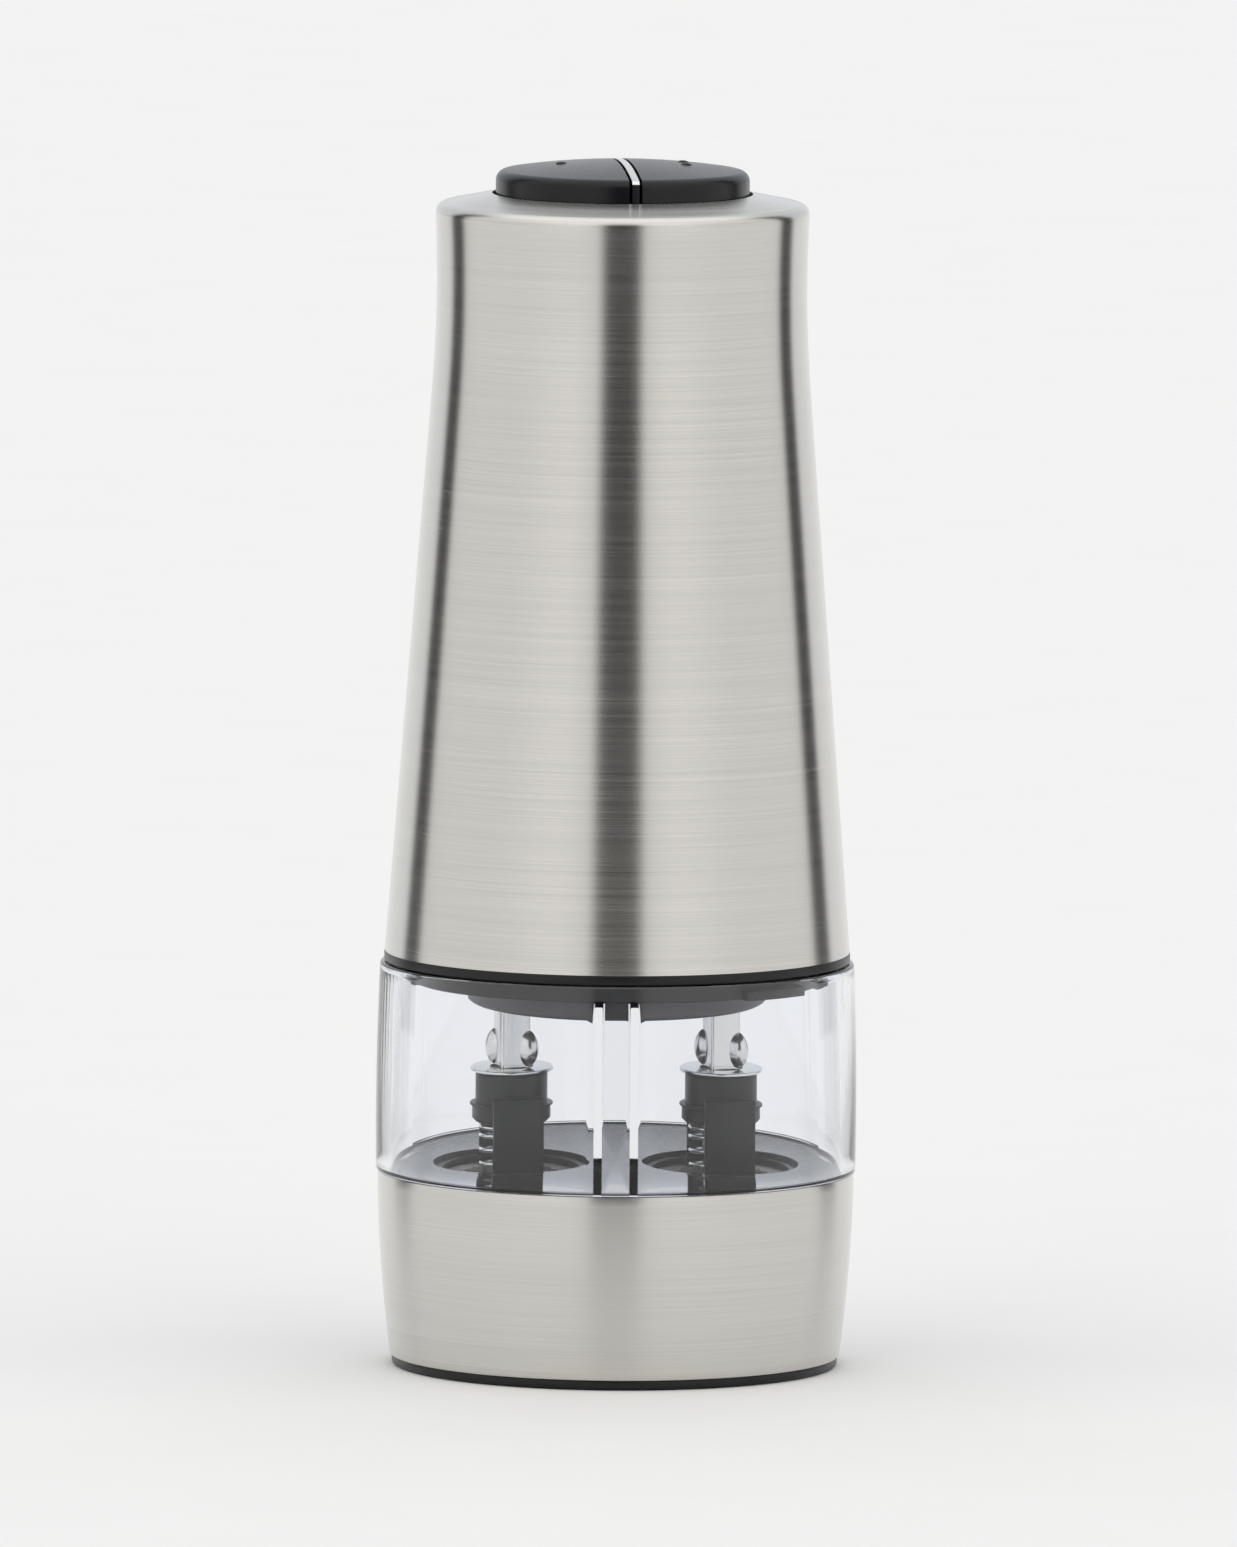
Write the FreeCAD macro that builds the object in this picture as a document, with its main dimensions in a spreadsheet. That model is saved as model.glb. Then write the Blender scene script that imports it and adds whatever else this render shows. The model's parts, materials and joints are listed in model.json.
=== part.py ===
"""Electric two-in-one salt and pepper mill, in millimetres, +Z up.

The origin is the centre of the base's underside. Salt is at -X and pepper at +X, and the
divider between the two compartments lies in the plane x = 0. The front is towards -Y.
"""

import FreeCAD
import Part
import math
import os
import re
import Sketcher
from FreeCAD import Placement, Rotation, Vector

# Driving dimensions: each is a cell of the sheet, in millimetres, degrees or counts
SIZES = {
    # clearances
    "running_fit": 0.05,
    "slide_gap": 0.1,
    "fit_gap": 0.3,
    "press_gap": 0.02,
    # base and lower skirt
    "base_lip_height": 1.5,
    "base_lip_chamfer": 0.5,
    "cover_spigot_height": 2.0,
    "skirt_height": 31.7,
    "skirt_draw": 2.3,
    "skirt_arc_radius": 250.0,
    "skirt_wall": 0.7,
    "base_wall": 2.0,
    "deck_thickness": 2.0,
    "well_wall": 1.7,
    "outlet_radius": 11.8,
    "base_rib_thickness": 1.6,
    "base_rib_depth": 14.0,
    "base_screw_x": 12.0,
    "base_screw_y": 26.0,
    "base_boss_radius": 3.0,
    "screw_radius": 1.2,
    "screw_length": 10.0,
    "screw_head_radius": 2.4,
    "screw_head_height": 1.5,
    # clear chamber
    "floor_thickness": 2.0,
    "chamber_height": 35.7,
    "chamber_rim_radius": 40.4,
    "chamber_flare": 0.5,
    "chamber_arc_radius": 600.0,
    "chamber_wall": 2.3,
    "spigot_depth": 6.0,
    "spigot_wall": 1.8,
    "axis_offset": 18.0,
    "throat_radius": 13.4,
    "divider_gap": 4.6,
    "divider_wall": 1.4,
    "divider_height": 32.0,
    "lug_width": 1.2,
    "lug_thickness": 1.4,
    "lug_top_drop": 0.2,
    "lug_angle": 60.0,
    # grinders
    "burr_ring_radius": 13.6,
    "burr_ring_height": 11.0,
    "burr_height": 7.8,
    "burr_low_radius": 9.3,
    "burr_top_radius": 5.3,
    "burr_gap": 0.7,
    "burr_mouth_gap": 2.6,
    "burr_tooth_depth": 1.1,
    "burr_seat_thickness": 0.8,
    "burr_boss_radius": 4.6,
    "burr_boss_height": 2.6,
    "inner_teeth": 12,
    "outer_teeth": 18,
    "burr_twist": 50.0,
    "feed_travel": 0.75,
    "knob_radius": 6.8,
    "knob_height": 13.6,
    "knob_collar_radius": 4.4,
    "knob_collar_height": 2.4,
    "knob_flute_radius": 1.6,
    "knob_flutes": 8,
    "shaft_width": 5.2,
    "shaft_yaw": 18.0,
    "shaft_end_radius": 2.2,
    "shaft_top_reach": 3.1,
    "ear_height": 6.2,
    "ear_reach": 1.4,
    "ear_thickness": 3.0,
    "washer_radius": 7.15,
    "washer_thickness": 0.5,
    "bush_radius": 6.2,
    "bush_height": 5.1,
    "bush_flange_radius": 7.15,
    "bush_flange_height": 0.4,
    "bush_spigot_radius": 5.2,
    "bridge_ring_width": 1.4,
    "bridge_ring_height": 1.2,
    "bridge_leg_width": 8.7,
    "bridge_leg_reach": 8.8,
    "bridge_leg_height": 11.7,
    "bridge_yaw": 10.0,
    "collar_radius": 6.75,
    "collar_height": 2.7,
    "collar_chamfer": 0.6,
    "spring_seat_height": 6.8,
    "spring_radius": 5.6,
    "spring_wire": 0.8,
    "spring_turns": 6,
    # lock ring and drive plate
    "band_height": 1.7,
    "band_step": 0.7,
    "ring_skirt_wall": 1.6,
    "ring_lip_width": 1.0,
    "tab_angle": 20.0,
    "tab_place": -45.0,
    "tab_thickness": 1.4,
    "tab_reach": 1.3,
    "ring_spigot_wall": 1.2,
    "ring_spigot_height": 4.3,
    "plate_thickness": 3.3,
    "plate_boss_radius": 26.0,
    "plate_boss_depth": 4.9,
    "key_thickness": 4.0,
    "key_length": 50.0,
    # gear train
    "gear_module": 0.6,
    "pinion_teeth": 9,
    "wheel_teeth": 30,
    "gear_width": 4.0,
    "gear_layer_gap": 0.5,
    "gear_backlash": 0.1,
    "pressure_angle": 25.0,
    "gear_pin_radius": 0.75,
    "gear_boss_radius": 1.6,
    "hub_radius": 5.0,
    "housing_wall": 1.4,
    "housing_top": 2.0,
    "housing_flange_height": 1.5,
    "housing_boss_radius": 2.6,
    "housing_boss_inset": 2.0,
    # motors and batteries
    "motor_radius": 12.2,
    "motor_length": 28.8,
    "motor_cap_height": 2.0,
    "motor_nose_radius": 4.0,
    "motor_nose_height": 1.6,
    "motor_shaft_radius": 1.0,
    "motor_socket_wall": 1.5,
    "motor_socket_height": 6.0,
    "holder_radius": 21.0,
    "holder_floor": 2.5,
    "holder_leg_radius": 3.2,
    "holder_leg_inset": 4.0,
    "cell_radius": 7.1,
    "cell_length": 49.0,
    "cell_nub_radius": 2.7,
    "cell_nub_height": 1.5,
    "cell_pitch": 15.2,
    "contact_thickness": 0.5,
    "contact_width": 9.0,
    "holder_window_width": 8.0,
    "cap_thickness": 2.5,
    "cap_post_radius": 2.5,
    "cap_post_height": 2.0,
    "cap_post_place": 15.0,
    "board_radius": 24.0,
    "board_thickness": 1.6,
    "switch_width": 6.0,
    "switch_height": 2.2,
    "switch_key_radius": 1.75,
    "switch_key_height": 1.0,
    # upper shell
    "taper_height": 96.3,
    "taper_draw": 7.4,
    "neck_height": 29.8,
    "neck_draw": 0.4,
    "neck_arc_radius": 230.0,
    "shell_edge_round": 1.8,
    "shoulder_rise": 1.6,
    "shell_wall": 0.7,
    # buttons and bezel
    "bezel_yaw": 6.0,
    "bezel_wall": 1.6,
    "bezel_thickness": 2.0,
    "rib_thickness": 1.2,
    "rib_gap": 0.5,
    "button_radius": 21.6,
    "button_side_height": 3.7,
    "button_edge_round": 1.4,
    "button_dome_rise": 1.8,
    "button_wall": 1.6,
    "button_skirt": 6.2,
    "button_flange_width": 1.6,
    "button_flange_height": 1.2,
    "button_travel": 2.0,
    "twist_angle": 25.0,
    "stem_radius": 2.2,
    "stem_place": 10.5,
    "foot_radius": 4.5,
    "foot_height": 1.2,
    "guide_wall": 1.2,
    "guide_length": 3.0,
    "button_spring_radius": 3.9,
    "button_spring_wire": 0.6,
    "button_spring_turns": 6,
    "mark_radius": 1.0,
    "mark_height": 0.4,
    "mark_pitch": 5.0,
}

# Places worked out from the driving dimensions, from the foot upwards
PLACES = {
    "chamber_low_radius": "chamber_rim_radius + chamber_flare",
    "skirt_top_radius": "chamber_low_radius - fit_gap",
    "skirt_bottom_radius": "skirt_top_radius - skirt_draw",
    "base_lip_radius": "skirt_bottom_radius - fit_gap",
    "base_wall_radius": "skirt_bottom_radius - skirt_wall - fit_gap",
    "band_radius": "chamber_rim_radius - band_step",
    "shell_bottom_radius": "band_radius - slide_gap",
    "taper_top_radius": "shell_bottom_radius - taper_draw",
    "shell_top_radius": "taper_top_radius - neck_draw",
    "button_opening_radius": "button_radius + 2 * fit_gap",
    "bezel_radius": "shell_top_radius - shell_wall - 2 * fit_gap - 2 * slide_gap",
    "cover_top": "base_lip_height + cover_spigot_height",
    "skirt_top": "base_lip_height + skirt_height",
    "floor_under": "skirt_top - floor_thickness",
    "rim_top": "skirt_top + chamber_height",
    "divider_top": "skirt_top + divider_height",
    "base_inner_radius": "base_wall_radius - base_wall",
    "well_radius": "burr_ring_radius + well_wall",
    "ring_seat": "floor_under - burr_ring_height",
    "burr_top": "ring_seat + burr_height",
    "knob_top": "ring_seat - burr_boss_height",
    "square_bottom": "knob_top + feed_travel + fit_gap",
    "square_corner": "shaft_width * 0.5 * 2 ^ 0.5",
    "spring_top": "skirt_top + spring_seat_height",
    "collar_top": "spring_top + collar_height",
    "bush_bottom": "collar_top + bush_flange_height",
    "bush_top": "bush_bottom + bush_height",
    "washer_bottom": "bush_top + fit_gap",
    "washer_top": "washer_bottom + washer_thickness",
    "rim_inner_radius": "chamber_rim_radius - chamber_wall",
    "floor_inner_radius": "chamber_low_radius - chamber_wall",
    "plate_bottom": "rim_top - plate_thickness",
    "shaft_top": "rim_top + shaft_top_reach",
    "band_bottom": "rim_top + slide_gap",
    "band_top": "band_bottom + band_height",
    "lip_bottom": "rim_top + fit_gap + slide_gap",
    "ring_skirt_radius": "rim_inner_radius - fit_gap - tab_reach",
    "ring_bore_radius": "ring_skirt_radius - ring_skirt_wall",
    "plate_radius": "ring_bore_radius - fit_gap",
    "lip_radius": "ring_bore_radius - ring_lip_width",
    "ring_spigot_radius": "shell_bottom_radius - shell_wall - 2 * fit_gap - slide_gap",
    "third_layer": "rim_top + fit_gap + slide_gap",
    "second_layer": "third_layer + gear_width + gear_layer_gap",
    "first_layer": "second_layer + gear_width + gear_layer_gap",
    "housing_under": "first_layer + gear_width + gear_layer_gap",
    "housing_roof": "housing_under + housing_top",
    "housing_radius": "lip_radius - fit_gap",
    "housing_bore": "housing_radius - housing_wall",
    "housing_flange_radius": "ring_spigot_radius - ring_spigot_wall - fit_gap - 2 * slide_gap",
    "housing_boss_place": "housing_bore - housing_boss_inset",
    "motor_top": "housing_roof + motor_length",
    "holder_leg_place": "holder_radius - holder_leg_inset",
    "holder_bottom": "motor_top + motor_cap_height + fit_gap",
    "contact_bottom": "holder_bottom + holder_floor",
    "cell_bottom": "contact_bottom + contact_thickness",
    "cell_top": "cell_bottom + cell_length",
    "cell_tip": "cell_top + cell_nub_height",
    "cap_bottom": "cell_tip + contact_thickness",
    "cap_top": "cap_bottom + cap_thickness",
    "board_bottom": "cap_top + cap_post_height",
    "board_top": "board_bottom + board_thickness",
    "switch_top": "board_top + switch_height",
    "key_top": "switch_top + switch_key_height",
    "taper_top": "band_top + taper_height",
    "neck_top": "taper_top + neck_height",
    "shell_edge": "neck_top + shell_edge_round",
    "shoulder_top": "shell_edge + shoulder_rise",
    "foot_bottom": "key_top + button_travel + slide_gap",
    "foot_top": "foot_bottom + foot_height",
    "button_side_top": "shoulder_top + button_side_height - button_edge_round",
    "dome_edge": "shoulder_top + button_side_height",
    "dome_top": "dome_edge + button_dome_rise",
    "button_bottom": "shoulder_top - button_skirt",
    "flange_top": "shoulder_top - shell_wall - fit_gap - 0.3 * shoulder_rise",
    "bezel_top": "button_bottom - button_travel - 2 * fit_gap",
    "bezel_bottom": "bezel_top - bezel_thickness",
    "gear_distance": "gear_module * (pinion_teeth + wheel_teeth) * 0.5",
}

SIDES = (("salt", -1, 180), ("pepper", 1, 0))
CORNERS = ((1, 1), (-1, 1), (-1, -1), (1, -1))
PLANES = {"side": "XZ_Plane", "flat": "XY_Plane"}
FUNCTIONS = ("cos", "sin", "sqrt")
WORD = re.compile(r"[a-z][a-z_0-9]*")

doc = FreeCAD.newDocument("PepperMill")
sheet = doc.addObject("Spreadsheet::Sheet", "Sizes")
for row, (alias, value) in enumerate(SIZES.items(), start=1):
    sheet.set(f"A{row}", alias.replace("_", " "))
    sheet.set(f"B{row}", str(value))
    sheet.setAlias(f"B{row}", alias)
doc.recompute()

pieces = []


def spell(text):
    """The expression with every size and place spelled out in cells of the sheet."""

    def swap(hit):
        word = hit.group()
        if word in FUNCTIONS:
            return word
        if word in SIZES:
            return f"Sizes.{word}"
        return f"({spell(PLACES[word])})"

    return WORD.sub(swap, str(text))


def number(text):
    """The present value of an expression."""
    return float(sheet.evalExpression(spell(text)))


def tie(thing, path, text):
    """Bind one property of an object to an expression."""
    thing.setExpression(path, spell(text))


def place(thing, x="0", y="0", z="0", yaw="0"):
    """Bind an object's place, and its turn about Z, to expressions."""
    thing.Placement = Placement(Vector(), Rotation(Vector(0, 0, 1), 1))
    tie(thing, "Placement.Base.x", x)
    tie(thing, "Placement.Base.y", y)
    tie(thing, "Placement.Base.z", z)
    tie(thing, "Placement.Rotation.Angle", yaw)
    return thing


def piece(node, thing):
    """Name a finished sub-part."""
    thing.Label = node
    pieces.append(thing)
    return thing


def draw(sketch, points):
    """Closed outline through points given counter-clockwise as expressions.

    A third entry in a point bends the stretch after it: the arc's radius, and +1 to bulge
    outwards or -1 to bulge inwards.
    """
    spots = [Vector(number(point[0]), number(point[1]), 0) for point in points]
    count = len(points)
    first_end = []
    for index, point in enumerate(points):
        start = spots[index]
        end = spots[(index + 1) % count]
        if len(point) == 2:
            sketch.addGeometry(Part.LineSegment(start, end))
            first_end.append((1, 2))
            continue
        radius = number(point[2])
        bulge = point[3]
        run = end - start
        reach = math.sqrt(radius ** 2 - (run.Length / 2) ** 2)
        left = Vector(-run.y, run.x, 0).normalize()
        centre = (start + end) * 0.5 + left * (reach * bulge)
        ends = (start, end) if bulge > 0 else (end, start)
        angles = [math.atan2(spot.y - centre.y, spot.x - centre.x) for spot in ends]
        if angles[1] < angles[0]:
            angles[1] += 2 * math.pi
        circle = Part.Circle(centre, Vector(0, 0, 1), radius)
        sketch.addGeometry(Part.ArcOfCircle(circle, angles[0], angles[1]))
        first_end.append((1, 2) if bulge > 0 else (2, 1))
    for index, point in enumerate(points):
        after = (index + 1) % count
        joint = ("Coincident", index, first_end[index][1], after, first_end[after][0])
        sketch.addConstraint(Sketcher.Constraint(*joint))
        spot = spots[index]
        for kind, axis, value, text in (("DistanceX", -2, spot.x, point[0]), ("DistanceY", -1, spot.y, point[1])):
            corner = first_end[index][0]
            if text == "0":
                sketch.addConstraint(Sketcher.Constraint("PointOnObject", index, corner, axis))
                continue
            key = sketch.addConstraint(Sketcher.Constraint(kind, -1, 1, index, corner, value))
            tie(sketch, f"Constraints[{key}]", text)
        if len(point) > 2:
            key = sketch.addConstraint(Sketcher.Constraint("Radius", index, number(point[2])))
            tie(sketch, f"Constraints[{key}]", point[2])


def new_sketch(body, name, plane, points):
    """An outline on one of the body's own origin planes."""
    sketch = body.newObject("Sketcher::SketchObject", name)
    support = [item for item in body.Origin.OriginFeatures if item.Role == PLANES[plane]]
    sketch.AttachmentSupport = [(support[0], "")]
    sketch.MapMode = "FlatFace"
    draw(sketch, points)
    return sketch


def turned(name, points, x="0", y="0"):
    """A body turned about its own vertical axis from an outline of (radius, height) points."""
    body = doc.addObject("PartDesign::Body", name)
    sketch = new_sketch(body, f"{name}_outline", "side", points)
    turn = body.newObject("PartDesign::Revolution", f"{name}_turn")
    turn.Profile = sketch
    turn.ReferenceAxis = (sketch, ["V_Axis"])
    turn.Angle = 360
    place(body, x, y)
    return body


def padded(name, points, bottom, top, x="0", y="0", yaw="0"):
    """A body padded straight up between two heights from an outline of (x, y) points."""
    body = doc.addObject("PartDesign::Body", name)
    sketch = new_sketch(body, f"{name}_outline", "flat", points)
    pad = body.newObject("PartDesign::Pad", f"{name}_pad")
    pad.Profile = sketch
    tie(pad, "Length", f"({top}) - ({bottom})")
    place(body, x, y, bottom, yaw)
    return body


def tube(name, inner, outer, bottom, top, x="0", y="0"):
    """A plain ring between two radii and two heights."""
    points = [(inner, bottom), (outer, bottom), (outer, top), (inner, top)]
    return turned(name, points, x, y)


def rod(name, radius, bottom, top, x="0", y="0"):
    """A plain upright cylinder."""
    cylinder = doc.addObject("Part::Cylinder", name)
    tie(cylinder, "Radius", radius)
    tie(cylinder, "Height", f"({top}) - ({bottom})")
    return place(cylinder, x, y, bottom)


def block(name, left, right, front, back, bottom, top):
    """A plain box between six planes."""
    box = doc.addObject("Part::Box", name)
    tie(box, "Length", f"({right}) - ({left})")
    tie(box, "Width", f"({back}) - ({front})")
    tie(box, "Height", f"({top}) - ({bottom})")
    return place(box, left, front, bottom)


def sector(name, inner, outer, bottom, top, centre, spread):
    """A piece of a ring, spread evenly to both sides of an angle."""
    whole = doc.addObject("Part::Cylinder", f"{name}_disc")
    tie(whole, "Radius", outer)
    tie(whole, "Height", f"({top}) - ({bottom})")
    tie(whole, "Angle", spread)
    place(whole, "0", "0", bottom, f"({centre}) - 0.5 * ({spread})")
    return cut(name, whole, [rod(f"{name}_bore", inner, f"{bottom} - 1", f"{top} + 1")])


def fuse(name, shapes):
    """Shapes joined into one."""
    joined = doc.addObject("Part::MultiFuse", name)
    joined.Shapes = shapes
    return joined


def cut(name, base, tools):
    """A shape less its tools."""
    less = doc.addObject("Part::Cut", name)
    less.Base = base
    less.Tool = tools[0] if len(tools) == 1 else fuse(f"{name}_tools", tools)
    return less


def common(name, first, second):
    """What two shapes share."""
    shared = doc.addObject("Part::Common", name)
    shared.Base = first
    shared.Tool = second
    return shared


def formed(name, shape, x=0, y=0, z=0, yaw=0):
    """A sub-part whose form is worked out point by point."""
    feature = doc.addObject("Part::Feature", name)
    feature.Shape = shape
    feature.Placement = Placement(Vector(x, y, z), Rotation(Vector(0, 0, 1), yaw))
    return feature


def make_base():
    """Foot cover, well moulding with its screws, and the steel skirt round them."""
    disc = turned("cover_disc", [
        ("0", "0"),
        ("base_lip_radius - base_lip_chamfer", "0"),
        ("base_lip_radius", "base_lip_chamfer"),
        ("base_lip_radius", "base_lip_height"),
        ("base_inner_radius - fit_gap", "base_lip_height"),
        ("base_inner_radius - fit_gap", "cover_top"),
        ("0", "cover_top"),
    ])
    cup = turned("well_cup", [
        ("base_inner_radius", "base_lip_height"),
        ("base_wall_radius", "base_lip_height"),
        ("base_wall_radius", "floor_under"),
        ("0", "floor_under"),
        ("0", "floor_under - deck_thickness"),
        ("base_inner_radius", "floor_under - deck_thickness"),
    ])
    deck = "floor_under - deck_thickness"
    rib_low = f"{deck} - base_rib_depth"
    half_rib = "0.5 * base_rib_thickness"
    reach = "base_inner_radius + 0.5 * base_wall"
    body_solids = [
        cup,
        block("rib_across", f"-{half_rib}", half_rib, f"-({reach})", reach, rib_low, deck),
        block("rib_along", f"-({reach})", reach, f"-{half_rib}", half_rib, rib_low, deck),
    ]
    cover_cuts = []
    body_cuts = []
    screws = []
    head_seat = "fit_gap + screw_head_height"
    tip = f"{head_seat} + screw_length"
    for side, sign, _ in SIDES:
        x = f"{sign} * axis_offset"
        body_solids.append(rod(f"{side}_well", "well_radius", "cover_top", "floor_under", x))
        body_cuts.append(rod(f"{side}_seat", "burr_ring_radius + slide_gap", "ring_seat", "floor_under + 1", x))
        body_cuts.append(rod(f"{side}_drop", "outlet_radius", "base_lip_height", "ring_seat + 1", x))
        cover_cuts.append(rod(f"{side}_outlet", "outlet_radius", "-1", "cover_top + 1", x))
    for index, (side_x, side_y) in enumerate(CORNERS):
        x = f"{side_x} * base_screw_x"
        y = f"{side_y} * base_screw_y"
        body_solids.append(rod(f"boss_{index}", "base_boss_radius", "cover_top", deck, x, y))
        body_cuts.append(rod(f"pilot_{index}", "screw_radius + press_gap", "base_lip_height", f"{tip} + 1",
                             x, y))
        cover_cuts.append(rod(f"sink_{index}", "screw_head_radius + fit_gap", "-1", head_seat, x, y))
        cover_cuts.append(rod(f"hole_{index}", "screw_radius + slide_gap", "-1", "cover_top + 1", x, y))
        screws.append(turned(f"base_screw_{index}", [
            ("0", "fit_gap"),
            ("screw_head_radius", "fit_gap"),
            ("screw_head_radius", head_seat),
            ("screw_radius", head_seat),
            ("screw_radius", f"{tip} - screw_radius"),
            ("0", tip),
        ], x, y))
    piece("base_cover", cut("cover_cut", disc, cover_cuts))
    piece("base_body", cut("well_cut", fuse("well_fused", body_solids), body_cuts))
    piece("base_screws", fuse("base_screw_set", screws))
    piece("lower_skirt", turned("skirt", [
        ("skirt_bottom_radius - skirt_wall", "base_lip_height"),
        ("skirt_bottom_radius", "base_lip_height", "skirt_arc_radius", 1),
        ("skirt_top_radius", "skirt_top"),
        ("skirt_top_radius - skirt_wall", "skirt_top", "skirt_arc_radius - skirt_wall", -1),
    ]))


def make_chamber():
    """Clear chamber with two compartments, throats, a double divider and bayonet lugs."""
    spigot_radius = "skirt_top_radius - skirt_wall - fit_gap - 2 * slide_gap"
    spigot_low = "floor_under - spigot_depth"
    bowl = turned("chamber_bowl", [
        ("0", "floor_under"),
        ("base_wall_radius + fit_gap", "floor_under"),
        ("base_wall_radius + fit_gap", spigot_low),
        ("base_wall_radius + spigot_wall", spigot_low),
        (spigot_radius, "floor_under"),
        (spigot_radius, "skirt_top"),
        ("chamber_low_radius", "skirt_top", "chamber_arc_radius", 1),
        ("chamber_rim_radius", "rim_top"),
        ("rim_inner_radius", "rim_top"),
        ("floor_inner_radius", "skirt_top"),
        ("0", "skirt_top"),
    ])
    throats = [rod(f"{side}_throat", "throat_radius", "floor_under - 1", "skirt_top + 1", f"{sign} * axis_offset")
               for side, sign, _ in SIDES]
    in_wall = "chamber_rim_radius - 0.5 * chamber_wall"
    in_floor = "skirt_top - 0.5 * floor_thickness"
    near = "0.5 * divider_gap"
    far = "0.5 * divider_gap + divider_wall"
    lug_top = "rim_top - lug_top_drop"
    lug_low = f"{lug_top} - lug_thickness"
    lug_inner = "rim_inner_radius - lug_width"
    parts = [
        cut("chamber_holed", bowl, throats),
        block("divider_salt", f"-({far})", f"-({near})", f"-({in_wall})", in_wall, in_floor, "divider_top"),
        block("divider_pepper", near, far, f"-({in_wall})", in_wall, in_floor, "divider_top"),
        sector("lug_salt", lug_inner, in_wall, lug_low, lug_top, "180", "lug_angle"),
        sector("lug_pepper", lug_inner, in_wall, lug_low, lug_top, "0", "lug_angle"),
    ]
    piece("spice_chamber", fuse("chamber_fused", parts))


def star(teeth, tip, root, height, turn):
    """Saw-tooth outline: each tooth climbs slowly from the root and drops back steeply."""
    corners = []
    pitch = 2 * math.pi / teeth
    for tooth in range(teeth):
        for radius, share in ((root, 0.0), (tip, 0.72)):
            angle = math.radians(turn) + (tooth + share) * pitch
            corners.append(Vector(radius * math.cos(angle), radius * math.sin(angle), height))
    return Part.makePolygon(corners + corners[:1])


def square_bar(width, bottom, top, yaw):
    """Upright square bar on the axis."""
    half = width / 2
    bar = Part.makeBox(width, width, top - bottom, Vector(-half, -half, bottom))
    bar.rotate(Vector(), Vector(0, 0, 1), yaw)
    return bar


def inner_burr_shape():
    """Grinding cone with slanted saw teeth, a spring seat and a boss, on a square bore."""
    low = number("ring_seat")
    high = number("burr_top")
    depth = number("burr_tooth_depth")
    layers = 4
    sections = []
    for layer in range(layers + 1):
        share = layer / layers
        tip = number("burr_low_radius") + share * number("burr_top_radius - burr_low_radius")
        turn = share * number("burr_twist")
        sections.append(star(int(number("inner_teeth")), tip, tip - depth, low + share * (high - low), turn))
    cone = Part.makeLoft(sections, True, True)
    seat = Part.makeCylinder(number("spring_radius + fit_gap"), number("burr_seat_thickness"),
                             Vector(0, 0, high - number("burr_seat_thickness")))
    boss_low = number("knob_top")
    boss = Part.makeCylinder(number("burr_boss_radius"), low - boss_low + depth, Vector(0, 0, boss_low))
    bore = square_bar(number("shaft_width + 2 * slide_gap"), boss_low - 1, high + 1, number("shaft_yaw"))
    return cone.fuse([seat, boss]).cut(bore).removeSplitter()


def outer_burr_shape():
    """Ring whose bore carries saw teeth and opens upwards into a feeding mouth."""
    low = number("ring_seat")
    high = number("floor_under")
    depth = number("burr_tooth_depth")
    teeth = int(number("outer_teeth"))
    tip_low = number("burr_low_radius + burr_gap")
    tip_high = number("burr_top_radius + burr_mouth_gap")
    ring = Part.makeCylinder(number("burr_ring_radius"), high - low, Vector(0, 0, low))
    slant = number("burr_twist") / 4
    sections = []
    for share in (0.0, 0.5, 1.0):
        root = tip_low + share * (tip_high - tip_low)
        sections.append(star(teeth, root + depth, root, low + share * (high - low), -share * slant))
    return ring.cut(Part.makeLoft(sections, True, True))


def biarc(start, start_way, end, end_way):
    """Two arcs that leave one point in its direction and reach the other in its own."""
    run = end - start
    ways = start_way + end_way
    bend = 2 * (1 - start_way.dot(end_way))
    along = run.dot(ways)
    handle = (math.sqrt(along ** 2 + bend * run.dot(run)) - along) / bend
    knots = (start + start_way * handle, end - end_way * handle)
    middle = (knots[0] + knots[1]) * 0.5
    arcs = []
    for first, knot, last in ((start, knots[0], middle), (middle, knots[1], end)):
        half = (first + last) * 0.5
        slope = math.atan2((knot - half).Length, (last - first).Length / 2)
        crown = half + (knot - half) * (math.tan(slope / 2) / math.tan(slope))
        arcs.append(Part.Arc(first, crown, last).toShape())
    return arcs


def coil(name, outer_radius, wire, bottom, top, turns):
    """Compression spring: an unbroken wire whose first and last turns rise less than the rest."""
    radius = outer_radius - wire / 2
    end_rise = wire + number("slide_gap") + 0.5
    rise = (top - bottom - wire - 2 * end_rise) / (turns - 2)

    def height(turn):
        open_turns = max(0, min(turn, turns - 1) - 1)
        closed_turns = min(turn, 1) + max(0, turn - turns + 1)
        climb = open_turns * rise + closed_turns * end_rise
        return bottom + wire / 2 + climb

    def spot(turn):
        angle = 2 * math.pi * turn
        return Vector(radius * math.cos(angle), radius * math.sin(angle), height(turn))

    def way(turn):
        angle = 2 * math.pi * turn
        step = 0.25
        climb = (height(min(turn + step, turns)) - height(max(turn - step, 0))) / (
            min(turn + step, turns) - max(turn - step, 0))
        return Vector(-math.sin(angle), math.cos(angle), climb / (2 * math.pi * radius)).normalize()

    edges = []
    quarters = [quarter / 4 for quarter in range(int(turns * 4) + 1)]
    for here, there in zip(quarters, quarters[1:]):
        edges += biarc(spot(here), way(here), spot(there), way(there))
    path = Part.Wire(edges)
    section = Part.Wire([Part.makeCircle(wire / 2, spot(0), way(0))])
    shell = Part.BRepOffsetAPI.MakePipeShell(path)
    shell.add(section)
    shell.build()
    shell.makeSolid()
    fine = [count / 24 for count in range(int(turns * 24) + 1)]
    gaps = [(spot(one) - spot(two)).Length - wire for one in fine for two in fine if two - one > 0.6]
    print(f"{name}: least gap between turns {min(gaps):.2f} mm")
    return shell.shape()


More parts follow.
